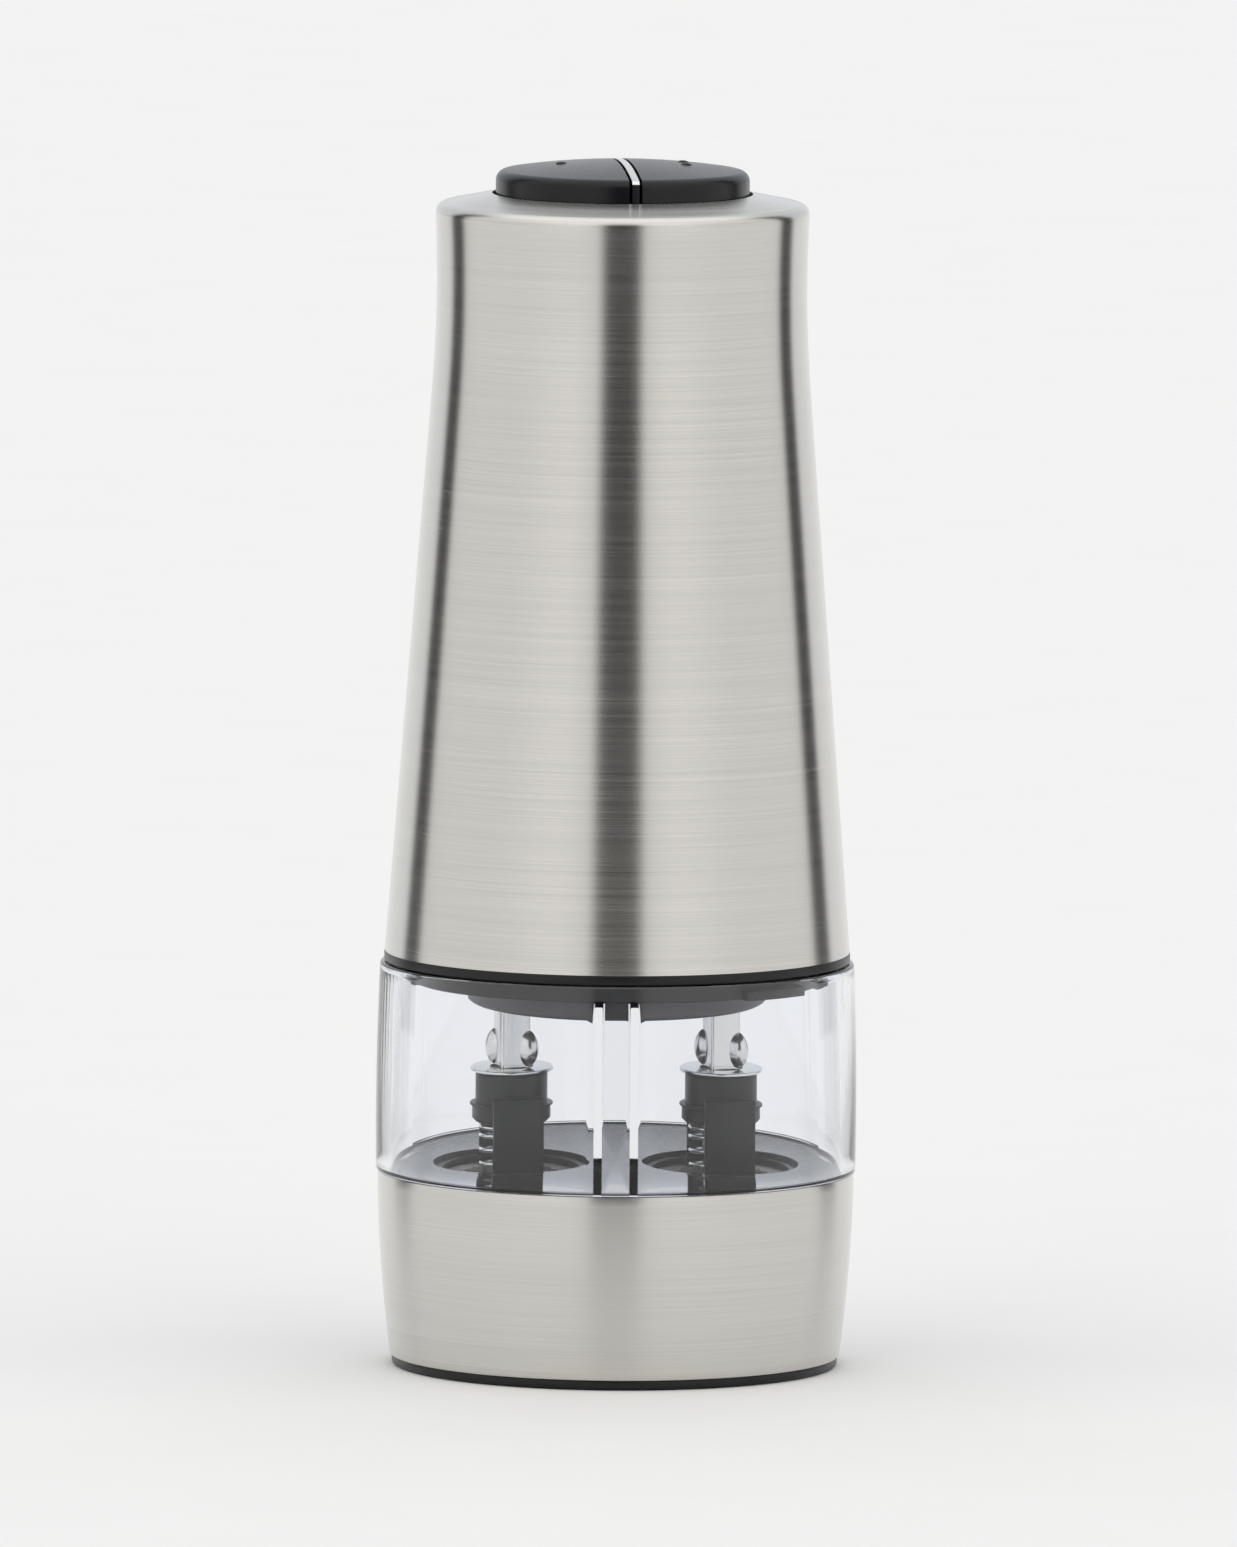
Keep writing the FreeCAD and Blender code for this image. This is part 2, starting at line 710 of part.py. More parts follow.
def make_grinder(side, sign, burr, ring, spring):
    """One compartment's grinder, from the coarseness knob up to the shaft's upper end."""
    axis = f"{sign} * axis_offset"
    x = number(axis)
    piece(f"{side}_outer_burr", formed(f"{side}_ring", ring, x))
    piece(f"{side}_inner_burr", formed(f"{side}_cone", burr, x))
    piece(f"{side}_spring", formed(f"{side}_coil", spring, x))

    ring_outer = "throat_radius - fit_gap"
    leg_inner = "bush_flange_radius + 2 * slide_gap"
    half_leg = "0.5 * bridge_leg_width"
    leg_top = "skirt_top + bridge_leg_height"
    foot_reach = f"({ring_outer} - 0.6 * bridge_ring_width)"
    foot_top = "floor_under + bridge_ring_height"
    frame = [
        tube(f"{side}_bridge_ring", f"{ring_outer} - bridge_ring_width", ring_outer, "floor_under",
             foot_top),
        turned(f"{side}_collar", [
            ("bush_spigot_radius + slide_gap", "spring_top"),
            ("collar_radius - collar_chamfer", "spring_top"),
            ("collar_radius", "spring_top + collar_chamfer"),
            ("collar_radius", "collar_top"),
            ("bush_spigot_radius + slide_gap", "collar_top"),
        ]),
    ]
    for name, near, far, web_near, web_far, foot_near, foot_far in (
        ("front", "-bridge_leg_reach", f"-({leg_inner})", f"-({leg_inner}) - 0.5", "-collar_radius + 0.8",
         f"-{foot_reach}", f"-({leg_inner})"),
        ("back", leg_inner, "bridge_leg_reach", "collar_radius - 0.8", f"{leg_inner} + 0.5",
         leg_inner, foot_reach),
    ):
        frame.append(block(f"{side}_{name}_foot", f"-{half_leg}", half_leg, foot_near, foot_far, "floor_under",
                           foot_top))
        frame.append(block(f"{side}_{name}_leg", f"-{half_leg}", half_leg, near, far, "floor_under", leg_top))
        frame.append(block(f"{side}_{name}_web", f"-0.6 * {half_leg}", f"0.6 * {half_leg}", web_near, web_far,
                           "spring_top + collar_chamfer", "collar_top"))
    piece(f"{side}_bridge", place(fuse(f"{side}_bridge_fused", frame), axis, "0", "0", "bridge_yaw"))

    bore = "square_corner + running_fit"
    piece(f"{side}_bush", turned(f"{side}_cup", [
        (bore, "spring_top + slide_gap"),
        ("bush_spigot_radius", "spring_top + slide_gap"),
        ("bush_spigot_radius", "collar_top"),
        ("bush_flange_radius", "collar_top"),
        ("bush_flange_radius", "bush_bottom"),
        ("bush_radius", "bush_bottom"),
        ("bush_radius", "bush_top - fit_gap"),
        ("bush_radius - fit_gap", "bush_top"),
        (bore, "bush_top"),
    ], axis))
    piece(f"{side}_washer", tube(f"{side}_disc", bore, "washer_radius", "washer_bottom", "washer_top", axis))

    half = "0.5 * shaft_width"
    corners = [(f"-{half}", f"-{half}"), (half, f"-{half}"), (half, half), (f"-{half}", half)]
    solids = [
        padded(f"{side}_bar", corners, "square_bottom", "shaft_top", axis, "0", "shaft_yaw"),
        rod(f"{side}_bar_end", "shaft_end_radius", "knob_top - knob_height + 1", "square_bottom + 1", axis),
    ]
    root = "square_corner - 0.8"
    lift = "(ear_reach + 0.8)"
    bend = f"(ear_height ^ 2 / 4 + {lift} ^ 2) / (2 * {lift})"
    for name, turn in (("left", 135), ("right", 315)):
        ear = doc.addObject("PartDesign::Body", f"{side}_{name}_ear")
        leaf = new_sketch(ear, f"{side}_{name}_leaf", "side", [
            (root, "washer_top", bend, 1),
            (root, "washer_top + ear_height"),
        ])
        pad = ear.newObject("PartDesign::Pad", f"{side}_{name}_ear_pad")
        pad.Profile = leaf
        pad.SideType = "Symmetric"
        tie(pad, "Length", "ear_thickness")
        solids.append(place(ear, axis, "0", "0", f"shaft_yaw + {turn}"))
    piece(f"{side}_shaft", fuse(f"{side}_shaft_fused", solids))

    low = "knob_top - knob_height"
    waist = "knob_top - knob_collar_height"
    grip = turned(f"{side}_grip", [
        ("shaft_end_radius + running_fit", low),
        ("knob_radius - fit_gap", low),
        ("knob_radius", f"{low} + fit_gap"),
        ("knob_radius", waist),
        ("knob_collar_radius", waist),
        ("knob_collar_radius", "knob_top"),
        ("shaft_end_radius + running_fit", "knob_top"),
    ])
    flutes = int(number("knob_flutes"))
    flute_place = "(knob_radius + 0.5 * knob_flute_radius)"
    tools = []
    for index in range(flutes):
        spot = 360 * index / flutes
        tools.append(rod(f"{side}_flute_{index}", "knob_flute_radius", f"{low} - 1", waist,
                         f"{flute_place} * cos({spot})", f"{flute_place} * sin({spot})"))
    piece(f"{side}_knob", place(cut(f"{side}_knob_cut", grip, tools), axis))


def make_lock_ring():
    """Black band that turns with the shell: a skirt with two bayonet tabs and a spigot."""
    spigot_inner = "ring_spigot_radius - ring_spigot_wall"
    band = turned("band", [
        ("ring_bore_radius", "plate_bottom"),
        ("ring_skirt_radius", "plate_bottom"),
        ("ring_skirt_radius", "band_bottom"),
        ("band_radius", "band_bottom"),
        ("band_radius", "band_top"),
        ("ring_spigot_radius", "band_top"),
        ("ring_spigot_radius", "band_top + ring_spigot_height"),
        (spigot_inner, "band_top + ring_spigot_height"),
        (spigot_inner, "band_top"),
        ("lip_radius", "band_top"),
        ("lip_radius", "lip_bottom"),
        ("ring_bore_radius", "lip_bottom"),
    ])
    tabs = [
        sector(f"tab_{turn}", "ring_skirt_radius - 0.5 * ring_skirt_wall", "rim_inner_radius - fit_gap",
               "plate_bottom", "plate_bottom + tab_thickness", f"tab_place + {turn}", "tab_angle")
        for turn in (0, 180)
    ]
    piece("lock_ring", fuse("band_fused", [band] + tabs))


def housing_screw_spots():
    """Places of the four screws that hold the gearbox housing to the drive plate."""
    return [(f"housing_boss_place * cos({angle})", f"housing_boss_place * sin({angle})")
            for angle in (90, 150, 270, 330)]


def make_core_plate():
    """Drive plate with its two half-round bosses and key blade, and the gearbox housing on it."""
    boss_low = "plate_bottom - plate_boss_depth"
    inside = "plate_bottom + 0.5 * plate_thickness"
    clear = "0.5 * divider_gap + divider_wall + fit_gap + slide_gap"
    wide = "plate_boss_radius + 1"
    boss = cut("plate_boss_halves", rod("plate_boss", "plate_boss_radius", boss_low, inside), [
        block("divider_room", f"-({clear})", clear, f"-({wide})", wide, f"{boss_low} - 1", "plate_bottom"),
    ])
    key = block("key", "-0.5 * key_thickness", "0.5 * key_thickness", "-0.5 * key_length", "0.5 * key_length",
                boss_low, inside)
    plate = fuse("plate_fused", [rod("plate_disc", "plate_radius", "plate_bottom", "rim_top"), boss, key])

    roof = turned("housing_cup", [
        ("housing_bore", "rim_top"),
        ("housing_radius", "rim_top"),
        ("housing_radius", "band_top + fit_gap"),
        ("housing_flange_radius", "band_top + fit_gap"),
        ("housing_flange_radius", "band_top + fit_gap + housing_flange_height"),
        ("housing_radius", "band_top + fit_gap + housing_flange_height"),
        ("housing_radius", "housing_roof"),
        ("0", "housing_roof"),
        ("0", "housing_under"),
        ("housing_bore", "housing_under"),
    ])
    housing_solids = [roof]
    housing_cuts = []
    plate_cuts = []
    screws = []
    socket_top = "housing_roof + motor_socket_height"
    for side, sign, _ in SIDES:
        x = f"{sign} * axis_offset"
        plate_cuts.append(rod(f"{side}_hub_bore", "hub_radius + running_fit", f"{boss_low} - 1", "rim_top + 1", x))
        housing_solids.append(rod(f"{side}_socket", "motor_radius + slide_gap + motor_socket_wall",
                                  "housing_under", socket_top, x))
        housing_cuts.append(rod(f"{side}_motor_seat", "motor_radius + slide_gap", "housing_roof",
                                f"{socket_top} + 1", x))
        housing_cuts.append(rod(f"{side}_nose_hole", "motor_nose_radius + slide_gap", "housing_under - 1",
                                "housing_roof + 1", x))
    head_low = "plate_bottom + slide_gap"
    head_seat = f"{head_low} + screw_head_height"
    tip = f"{head_seat} + screw_length"
    for index, (x, y) in enumerate(housing_screw_spots()):
        housing_solids.append(rod(f"housing_boss_{index}", "housing_boss_radius", "rim_top", "housing_under", x, y))
        housing_cuts.append(rod(f"housing_pilot_{index}", "screw_radius + press_gap", "rim_top - 1",
                                f"{tip} + 1", x, y))
        plate_cuts.append(rod(f"plate_sink_{index}", "screw_head_radius + fit_gap", "plate_bottom - 1",
                              head_seat, x, y))
        plate_cuts.append(rod(f"plate_hole_{index}", "screw_radius + slide_gap", "plate_bottom", "rim_top + 1", x, y))
        screws.append(turned(f"housing_screw_{index}", [
            ("0", head_low),
            ("screw_head_radius", head_low),
            ("screw_head_radius", head_seat),
            ("screw_radius", head_seat),
            ("screw_radius", f"{tip} - screw_radius"),
            ("0", tip),
        ], x, y))
    piece("drive_plate", cut("plate_cut", plate, plate_cuts))
    piece("gearbox_housing", cut("housing_cut", fuse("housing_fused", housing_solids), housing_cuts))
    piece("housing_screws", fuse("housing_screw_set", screws))


def gear(teeth, bottom, top, turn):
    """Spur wheel with involute flanks, thinned for backlash, and a tooth at the given angle."""
    pitch_radius = number("gear_module") * teeth / 2
    base_radius = pitch_radius * math.cos(math.radians(number("pressure_angle")))
    root_radius = pitch_radius - 1.2 * number("gear_module")
    tip_radius = pitch_radius + 0.9 * number("gear_module")

    def flare(radius):
        slope = math.acos(min(1.0, base_radius / radius))
        return math.tan(slope) - slope

    half_pitch = math.pi / (2 * teeth) - number("gear_backlash") / (4 * pitch_radius)
    flank = []
    for radius in (root_radius, pitch_radius, tip_radius):
        flank.append((radius, half_pitch + flare(pitch_radius) - flare(max(radius, base_radius))))
    corners = []
    for tooth in range(teeth):
        middle = math.radians(turn) + 2 * math.pi * tooth / teeth
        rising = [(radius, middle - half) for radius, half in flank]
        falling = [(radius, middle + half) for radius, half in reversed(flank)]
        for radius, angle in rising + falling:
            corners.append(Vector(radius * math.cos(angle), radius * math.sin(angle), bottom))
    face = Part.Face(Part.makePolygon(corners + corners[:1]))
    return face.extrude(Vector(0, 0, top - bottom))


def stacked_gear(wheel_low, wheel_turn, pinion_low, pinion_turn):
    """Wheel and pinion moulded as one, with bosses to the plate below and the roof above."""
    width = number("gear_width")
    bottom = number("rim_top + slide_gap")
    top = number("housing_under - slide_gap")
    boss = Part.makeCylinder(number("gear_boss_radius"), top - bottom, Vector(0, 0, bottom))
    bore = Part.makeCylinder(number("gear_pin_radius + running_fit"), top - bottom + 2, Vector(0, 0, bottom - 1))
    wheel = gear(int(number("wheel_teeth")), wheel_low, wheel_low + width, wheel_turn)
    pinion = gear(int(number("pinion_teeth")), pinion_low, pinion_low + width, pinion_turn)
    return wheel.fuse([pinion, boss]).cut(bore).removeSplitter()


def gear_spots():
    """Axes of one side's train: the first gear beside the motor, the second behind it."""
    x = number("axis_offset")
    reach = number("gear_distance")
    first = Vector(x + reach * math.cos(math.radians(150)), reach * math.sin(math.radians(150)), 0)
    second = Vector(x, reach, 0)
    return first, second


def make_train(side, turn):
    """Three reductions from the motor's pinion down to the gear that drives the shaft."""
    half_tooth = 180 / int(number("wheel_teeth"))
    width = number("gear_width")
    first_spot, second_spot = gear_spots()
    layers = {name: number(name) for name in ("first_layer", "second_layer", "third_layer")}
    axis = Vector(number("axis_offset"), 0, 0)
    swing = Rotation(Vector(0, 0, 1), turn)

    def train_piece(node, shape, spot):
        away = swing.multVec(spot)
        piece(node, formed(f"{node}_form", shape, away.x, away.y, 0, turn))

    shaft_radius = number("motor_shaft_radius")
    pinion = gear(int(number("pinion_teeth")), layers["first_layer"], layers["first_layer"] + width, 150)
    bore_low = Vector(0, 0, layers["first_layer"] - 1)
    bore = Part.makeCylinder(shaft_radius + number("press_gap"), width + 2, bore_low)
    train_piece(f"{side}_pinion", pinion.cut(bore), axis)
    first = stacked_gear(layers["first_layer"], 330 + half_tooth, layers["second_layer"], 30)
    train_piece(f"{side}_first_gear", first, first_spot)
    second = stacked_gear(layers["second_layer"], 210 + half_tooth, layers["third_layer"], 270)
    train_piece(f"{side}_second_gear", second, second_spot)

    wheel = gear(int(number("wheel_teeth")), layers["third_layer"], layers["third_layer"] + width, 90 + half_tooth)
    hub_low = number("plate_bottom - plate_boss_depth")
    hub = Part.makeCylinder(number("hub_radius"), layers["third_layer"] - hub_low, Vector(0, 0, hub_low))
    socket = square_bar(number("shaft_width + 2 * slide_gap"), hub_low - 1, number("shaft_top + fit_gap"),
                        number("shaft_yaw"))
    train_piece(f"{side}_output_gear", wheel.fuse(hub).cut(socket).removeSplitter(), axis)


def make_gear_pins():
    """Four fixed pins between drive plate and housing roof, which carry the stacked gears."""
    pins = []
    for side, sign, _ in SIDES:
        reach = f"{sign} * gear_distance"
        shift = f"{sign} * axis_offset"
        pins.append(rod(f"{side}_first_pin", "gear_pin_radius", "rim_top", "housing_under",
                        f"{shift} + {reach} * cos(150)", f"{reach} * sin(150)"))
        pins.append(rod(f"{side}_second_pin", "gear_pin_radius", "rim_top", "housing_under", shift, reach))
    piece("gear_pins", fuse("gear_pin_set", pins))


def make_motor(side, sign):
    """Can motor with its nose in the housing roof, and the shaft that runs right through it."""
    x = f"{sign} * axis_offset"
    bore = "motor_shaft_radius + running_fit"
    rear = "motor_top + motor_cap_height"
    piece(f"{side}_motor", turned(f"{side}_can", [
        (bore, "housing_roof - motor_nose_height"),
        ("motor_nose_radius", "housing_roof - motor_nose_height"),
        ("motor_nose_radius", "housing_roof"),
        ("motor_radius - fit_gap", "housing_roof"),
        ("motor_radius", "housing_roof + fit_gap"),
        ("motor_radius", "motor_top"),
        ("0.85 * motor_radius", "motor_top"),
        ("0.85 * motor_radius", rear),
        (bore, rear),
    ], x))
    piece(f"{side}_motor_shaft", rod(f"{side}_spindle", "motor_shaft_radius", "first_layer", rear, x))


def make_battery_pack():
    """Holder on two legs, four cells, the contact strips and the cap over them."""
    body = rod("holder_drum", "holder_radius", "holder_bottom", "cap_bottom")
    legs = [rod(f"holder_leg_{index}", "holder_leg_radius", "housing_roof", "holder_bottom + 0.5 * holder_floor",
                "0", f"{way} * holder_leg_place") for index, way in enumerate((1, -1))]
    cuts = []
    nub = "cell_nub_height"
    half = "0.5 * cell_pitch"
    for index, (side_x, side_y) in enumerate(CORNERS):
        x = f"{side_x} * {half}"
        y = f"{side_y} * {half}"
        cuts.append(rod(f"cell_bay_{index}", "cell_radius + fit_gap", "contact_bottom", "cap_bottom + 1", x, y))
        low = f"cell_bottom + {nub}" if index % 2 else "cell_bottom"
        top = f"{low} + cell_length"
        body_low = [("0", low), ("cell_radius", low), ("cell_radius", top), ("0", top)]
        tip_up = [("cell_nub_radius", f"{low} + cell_length"), ("cell_nub_radius", "cell_tip"), ("0", "cell_tip")]
        tip_down = [("0", "cell_bottom"), ("cell_nub_radius", "cell_bottom"), ("cell_nub_radius", low)]
        outline = tip_down + body_low[1:] if index % 2 else body_low[:3] + tip_up
        piece(f"battery_{index + 1}", turned(f"cell_{index}", outline, x, y))
    slot = "0.5 * holder_window_width"
    long = "holder_radius + 1"
    window = [(f"-({long})", f"-{slot}"), (long, f"-{slot}"), (long, slot), (f"-({long})", slot)]
    margin = "2 * holder_floor"
    for index, yaw in enumerate((45, 135)):
        cuts.append(padded(f"holder_window_{index}", window, f"contact_bottom + {margin}", f"cap_bottom - {margin}",
                           "0", "0", str(yaw)))
    reach = f"{half} + 0.5 * contact_width"
    near = f"{half} - 0.5 * contact_width"
    strips = {"lower": [], "upper": []}
    for way, left, right in ((1, near, reach), (-1, f"-({reach})", f"-({near})")):
        for level, low, across in (("lower", "contact_bottom", True), ("upper", "cell_tip", False)):
            sides = (f"-({reach})", reach, left, right) if across else (left, right, f"-({reach})", reach)
            top = f"{low} + contact_thickness"
            strips[level].append(block(f"{level}_strip_{way}".replace("-", "n"), *sides, low, top))
            grown = [f"{side} {sign} slide_gap" for side, sign in zip(sides, "-+-+")]
            cuts.append(block(f"{level}_slot_{way}".replace("-", "n"), *grown, low, f"{top} + slide_gap"))
    piece("battery_holder", cut("holder_cut", fuse("holder_fused", [body] + legs), cuts))
    piece("battery_contacts_lower", fuse("lower_strips", strips["lower"]))
    piece("battery_contacts_upper", fuse("upper_strips", strips["upper"]))
    posts = [rod(f"cap_post_{index}", "cap_post_radius", "cap_bottom", "board_bottom", "0", f"{way} * cap_post_place")
             for index, way in enumerate((1, -1))]
    piece("battery_cap", fuse("cap_fused", [rod("cap_disc", "holder_radius", "cap_bottom", "cap_top")] + posts))


def make_board():
    """Circuit board on the cap's posts, with one push switch for each button."""
    piece("circuit_board", rod("board_disc", "board_radius", "board_bottom", "board_top"))
    half = "0.5 * switch_width"
    for side, sign, turn in SIDES:
        case = block(f"{side}_switch_case", f"stem_place - {half}", f"stem_place + {half}", f"-{half}", half,
                     "board_top", "switch_top")
        key = rod(f"{side}_switch_key", "switch_key_radius", "board_top", "key_top", "stem_place")
        switch = fuse(f"{side}_switch_fused", [case, key])
        piece(f"{side}_switch", place(switch, yaw=f"bezel_yaw + twist_angle + {turn}"))


def make_shell():
    """Thin steel sleeve: straight taper, drawn-in neck, rounded edge and a sloped shoulder."""
    round_in = "shell_edge_round - shell_wall"
    edge = "shell_top_radius - shell_edge_round"
    piece("upper_shell", turned("sleeve", [
        ("shell_bottom_radius - shell_wall", "band_top"),
        ("shell_bottom_radius", "band_top"),
        ("taper_top_radius", "taper_top", "neck_arc_radius", -1),
        ("shell_top_radius", "neck_top", "shell_edge_round", 1),
        (edge, "shell_edge"),
        ("button_opening_radius", "shoulder_top"),
        ("button_opening_radius", "shoulder_top - shell_wall"),
        (edge, "shell_edge - shell_wall", round_in, -1),
        ("shell_top_radius - shell_wall", "neck_top", "neck_arc_radius + shell_wall", 1),
        ("taper_top_radius - shell_wall", "taper_top"),
    ]))


def dome_outline(drop, low, inset):
    """Upper half of a button's outline, from its side up over the edge to the domed top."""
    rim = f"button_radius - {inset} - button_edge_round"
    bend = f"(({rim}) ^ 2 + button_dome_rise ^ 2) / (2 * button_dome_rise)"
    return [
        (f"button_radius - {inset}", low),
        (f"button_radius - {inset}", f"button_side_top - {drop}", "button_edge_round", 1),
        (rim, f"dome_edge - {drop}", bend, 1),
        ("0", f"dome_top - {drop}"),
    ]


def make_buttons():
    """Bezel with its stem guides, the bright rib, and two half-moon buttons with their springs."""
    rim_top = "neck_top + shell_edge_round - shell_wall - 2 * fit_gap"
    tray = turned("bezel_tray", [
        ("0", "bezel_bottom"),
        ("bezel_radius", "bezel_bottom"),
        ("bezel_radius", rim_top),
        ("bezel_radius - bezel_wall", rim_top),
        ("bezel_radius - bezel_wall", "bezel_top"),
        ("0", "bezel_top"),
    ])
    guide = "stem_radius + running_fit"
    half_rib = "0.5 * rib_thickness"
    rib_reach = "button_radius - slide_gap"
    guides = []
    bores = [block("rib_slot", f"-{half_rib} - press_gap", f"{half_rib} + press_gap", f"-({rib_reach}) - press_gap",
                   f"{rib_reach} + press_gap", "bezel_bottom - 1", "bezel_top + 1")]
    for side, sign, _ in SIDES:
        x = f"{sign} * stem_place"
        guides.append(rod(f"{side}_guide", f"{guide} + guide_wall", "bezel_bottom - guide_length", "bezel_top", x))
        bores.append(rod(f"{side}_guide_bore", guide, "bezel_bottom - guide_length - 1", "bezel_top + 1", x))
    bezel = cut("bezel_cut", fuse("bezel_fused", [tray] + guides), bores)
    piece("button_bezel", place(bezel, yaw="bezel_yaw"))

    crown = turned("rib_crown", [("0", "bezel_bottom")] + dome_outline("0", "bezel_bottom", "slide_gap"))
    blade = block("rib_blade", f"-{half_rib}", half_rib, f"-({rib_reach})", rib_reach, "bezel_bottom", "dome_top")
    piece("button_rib", place(common("rib_common", crown, blade), yaw="bezel_yaw"))

    spring = coil("button spring", number("button_spring_radius"), number("button_spring_wire"),
                  number("bezel_top + slide_gap"), number("dome_edge - button_wall"), number("button_spring_turns"))
    for side, sign, turn in SIDES:
        make_button(side, turn)
        reach = Rotation(Vector(0, 0, 1), number("bezel_yaw") + turn).multVec(Vector(number("stem_place"), 0, 0))
        piece(f"{side}_button_spring", formed(f"{side}_button_coil", spring, reach.x, reach.y))


def make_button(side, turn):
    """One hollow half-moon button with its stem, the foot on the stem and its raised marks."""
    flange_low = "flange_top - button_flange_height"
    flange = "button_radius + button_flange_width"
    solid = turned(f"{side}_crown", [
        ("0", "button_bottom"),
        ("button_radius", "button_bottom"),
        ("button_radius", flange_low),
        (flange, flange_low),
        (flange, "flange_top"),
    ] + dome_outline("0", "flange_top", "0"))
    hollow_low = "button_bottom - 1"
    hollow = turned(f"{side}_hollow", [("0", hollow_low)] + dome_outline("button_wall", hollow_low, "button_wall"))
    flat = "0.5 * rib_thickness + rib_gap"
    wide = f"{flange} + 1"
    room = ("button_bottom - 2", "dome_top + 1")
    half = block(f"{side}_half", flat, wide, f"-({wide})", wide, *room)
    inner_half = block(f"{side}_inner_half", f"{flat} + button_wall", wide, f"-({wide})", wide, *room)
    cap = cut(f"{side}_cap", common(f"{side}_half_crown", solid, half),
              [common(f"{side}_half_hollow", hollow, inner_half)])
    stem = rod(f"{side}_stem", "stem_radius", "foot_top", "dome_edge - 0.5 * button_wall", "stem_place")
    dome = "(((button_radius - button_edge_round) ^ 2 + button_dome_rise ^ 2) / (2 * button_dome_rise))"
    crest = f"dome_top - {dome} + sqrt({dome} ^ 2 - stem_place ^ 2 - mark_pitch ^ 2)"
    spots = ("0",) if side == "salt" else ("-0.5 * mark_pitch", "0.5 * mark_pitch")
    inside = "dome_edge - 0.5 * button_wall"
    marks = [rod(f"{side}_mark_{index}", "mark_radius", inside, f"{crest} + mark_height", "stem_place", y)
             for index, y in enumerate(spots)]
    button = fuse(f"{side}_button_fused", [cap, stem] + marks)
    piece(f"{side}_button", place(button, yaw=f"bezel_yaw + {turn}"))
    foot = turned(f"{side}_foot", [
        ("0", "foot_bottom"),
        ("foot_radius - fit_gap", "foot_bottom"),
        ("foot_radius", "foot_bottom + fit_gap"),
        ("foot_radius", "foot_top"),
        ("0", "foot_top"),
    ])
    reach = f"bezel_yaw + {turn}"
    piece(f"{side}_button_foot", place(foot, f"stem_place * cos({reach})", f"stem_place * sin({reach})"))


make_base()
make_chamber()
cone_shape = inner_burr_shape()
ring_shape = outer_burr_shape()
spring_shape = coil("grinder spring", number("spring_radius"), number("spring_wire"), number("burr_top"),
                    number("spring_top - slide_gap"), number("spring_turns"))
for side_name, side_sign, side_turn in SIDES:
    make_grinder(side_name, side_sign, cone_shape, ring_shape, spring_shape)
    make_train(side_name, side_turn)
    make_motor(side_name, side_sign)
make_lock_ring()
make_core_plate()
make_gear_pins()
make_battery_pack()
make_board()
make_shell()
make_buttons()
doc.recompute()

faults = [item.Name for item in doc.Objects if "Invalid" in item.State or "Error" in item.State]
for item in pieces:
    if item.Shape.isNull() or not item.Shape.isValid() or not item.Shape.Solids:
        faults.append(item.Label)
if faults:
    raise RuntimeError("not built: " + ", ".join(faults))

os.makedirs("parts", exist_ok=True)
for item in pieces:
    item.Shape.exportStep(f"parts/{item.Label}.step")
print(f"{len(pieces)} sub-parts written")
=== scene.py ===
# %% [markdown]
# # An electric salt and pepper mill
# The mill stands upright: a tapered steel sleeve over a clear chamber with two grinding shafts, on a
# steel skirt with a black foot. The measured solids are loaded first as a fixed frame in metres, so
# every new piece can take its place from them.

# %% Load the frame
import json
import math

import bmesh
import bpy
from mathutils import Matrix, Vector

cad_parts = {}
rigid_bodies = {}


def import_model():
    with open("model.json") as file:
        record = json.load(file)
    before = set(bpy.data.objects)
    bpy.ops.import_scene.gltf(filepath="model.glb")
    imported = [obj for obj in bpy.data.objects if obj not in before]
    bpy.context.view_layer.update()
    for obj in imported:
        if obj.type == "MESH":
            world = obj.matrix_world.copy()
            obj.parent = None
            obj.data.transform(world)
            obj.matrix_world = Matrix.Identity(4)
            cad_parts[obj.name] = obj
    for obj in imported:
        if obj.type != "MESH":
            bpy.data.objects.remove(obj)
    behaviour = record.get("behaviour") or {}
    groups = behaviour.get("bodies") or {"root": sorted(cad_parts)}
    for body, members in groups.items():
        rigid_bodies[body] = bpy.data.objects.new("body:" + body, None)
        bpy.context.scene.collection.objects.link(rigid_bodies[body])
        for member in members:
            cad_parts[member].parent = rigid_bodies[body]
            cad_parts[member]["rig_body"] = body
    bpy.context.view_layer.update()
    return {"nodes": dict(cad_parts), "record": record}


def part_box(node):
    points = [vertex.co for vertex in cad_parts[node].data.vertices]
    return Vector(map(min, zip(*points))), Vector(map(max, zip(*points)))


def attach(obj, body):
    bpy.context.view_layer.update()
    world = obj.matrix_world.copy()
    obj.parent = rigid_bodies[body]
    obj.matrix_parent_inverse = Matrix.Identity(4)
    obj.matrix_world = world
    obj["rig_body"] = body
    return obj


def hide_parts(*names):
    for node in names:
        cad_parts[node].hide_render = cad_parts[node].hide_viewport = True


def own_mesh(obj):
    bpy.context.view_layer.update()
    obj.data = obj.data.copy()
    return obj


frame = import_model()
scene = bpy.context.scene
scene.view_settings.view_transform = "Standard"

# %% [markdown]
# ## Writing shader maths as plain sums
# A material in Blender is a graph of nodes. Drawing such a graph in code is easier to read when a socket
# can be used like a number, so a small class wraps a socket: `noise * 0.2 + 0.3` adds two Math nodes and
# links them. Every other kind of node comes from one method, `add`, which sets the node's options first
# and then fills its sockets.

# %% A socket that can be used in sums
DIRECTION_OUT = 0
OBJECT_OUT = 3
COLOUR_A = 6
COLOUR_B = 7
COLOUR_OUT = 2


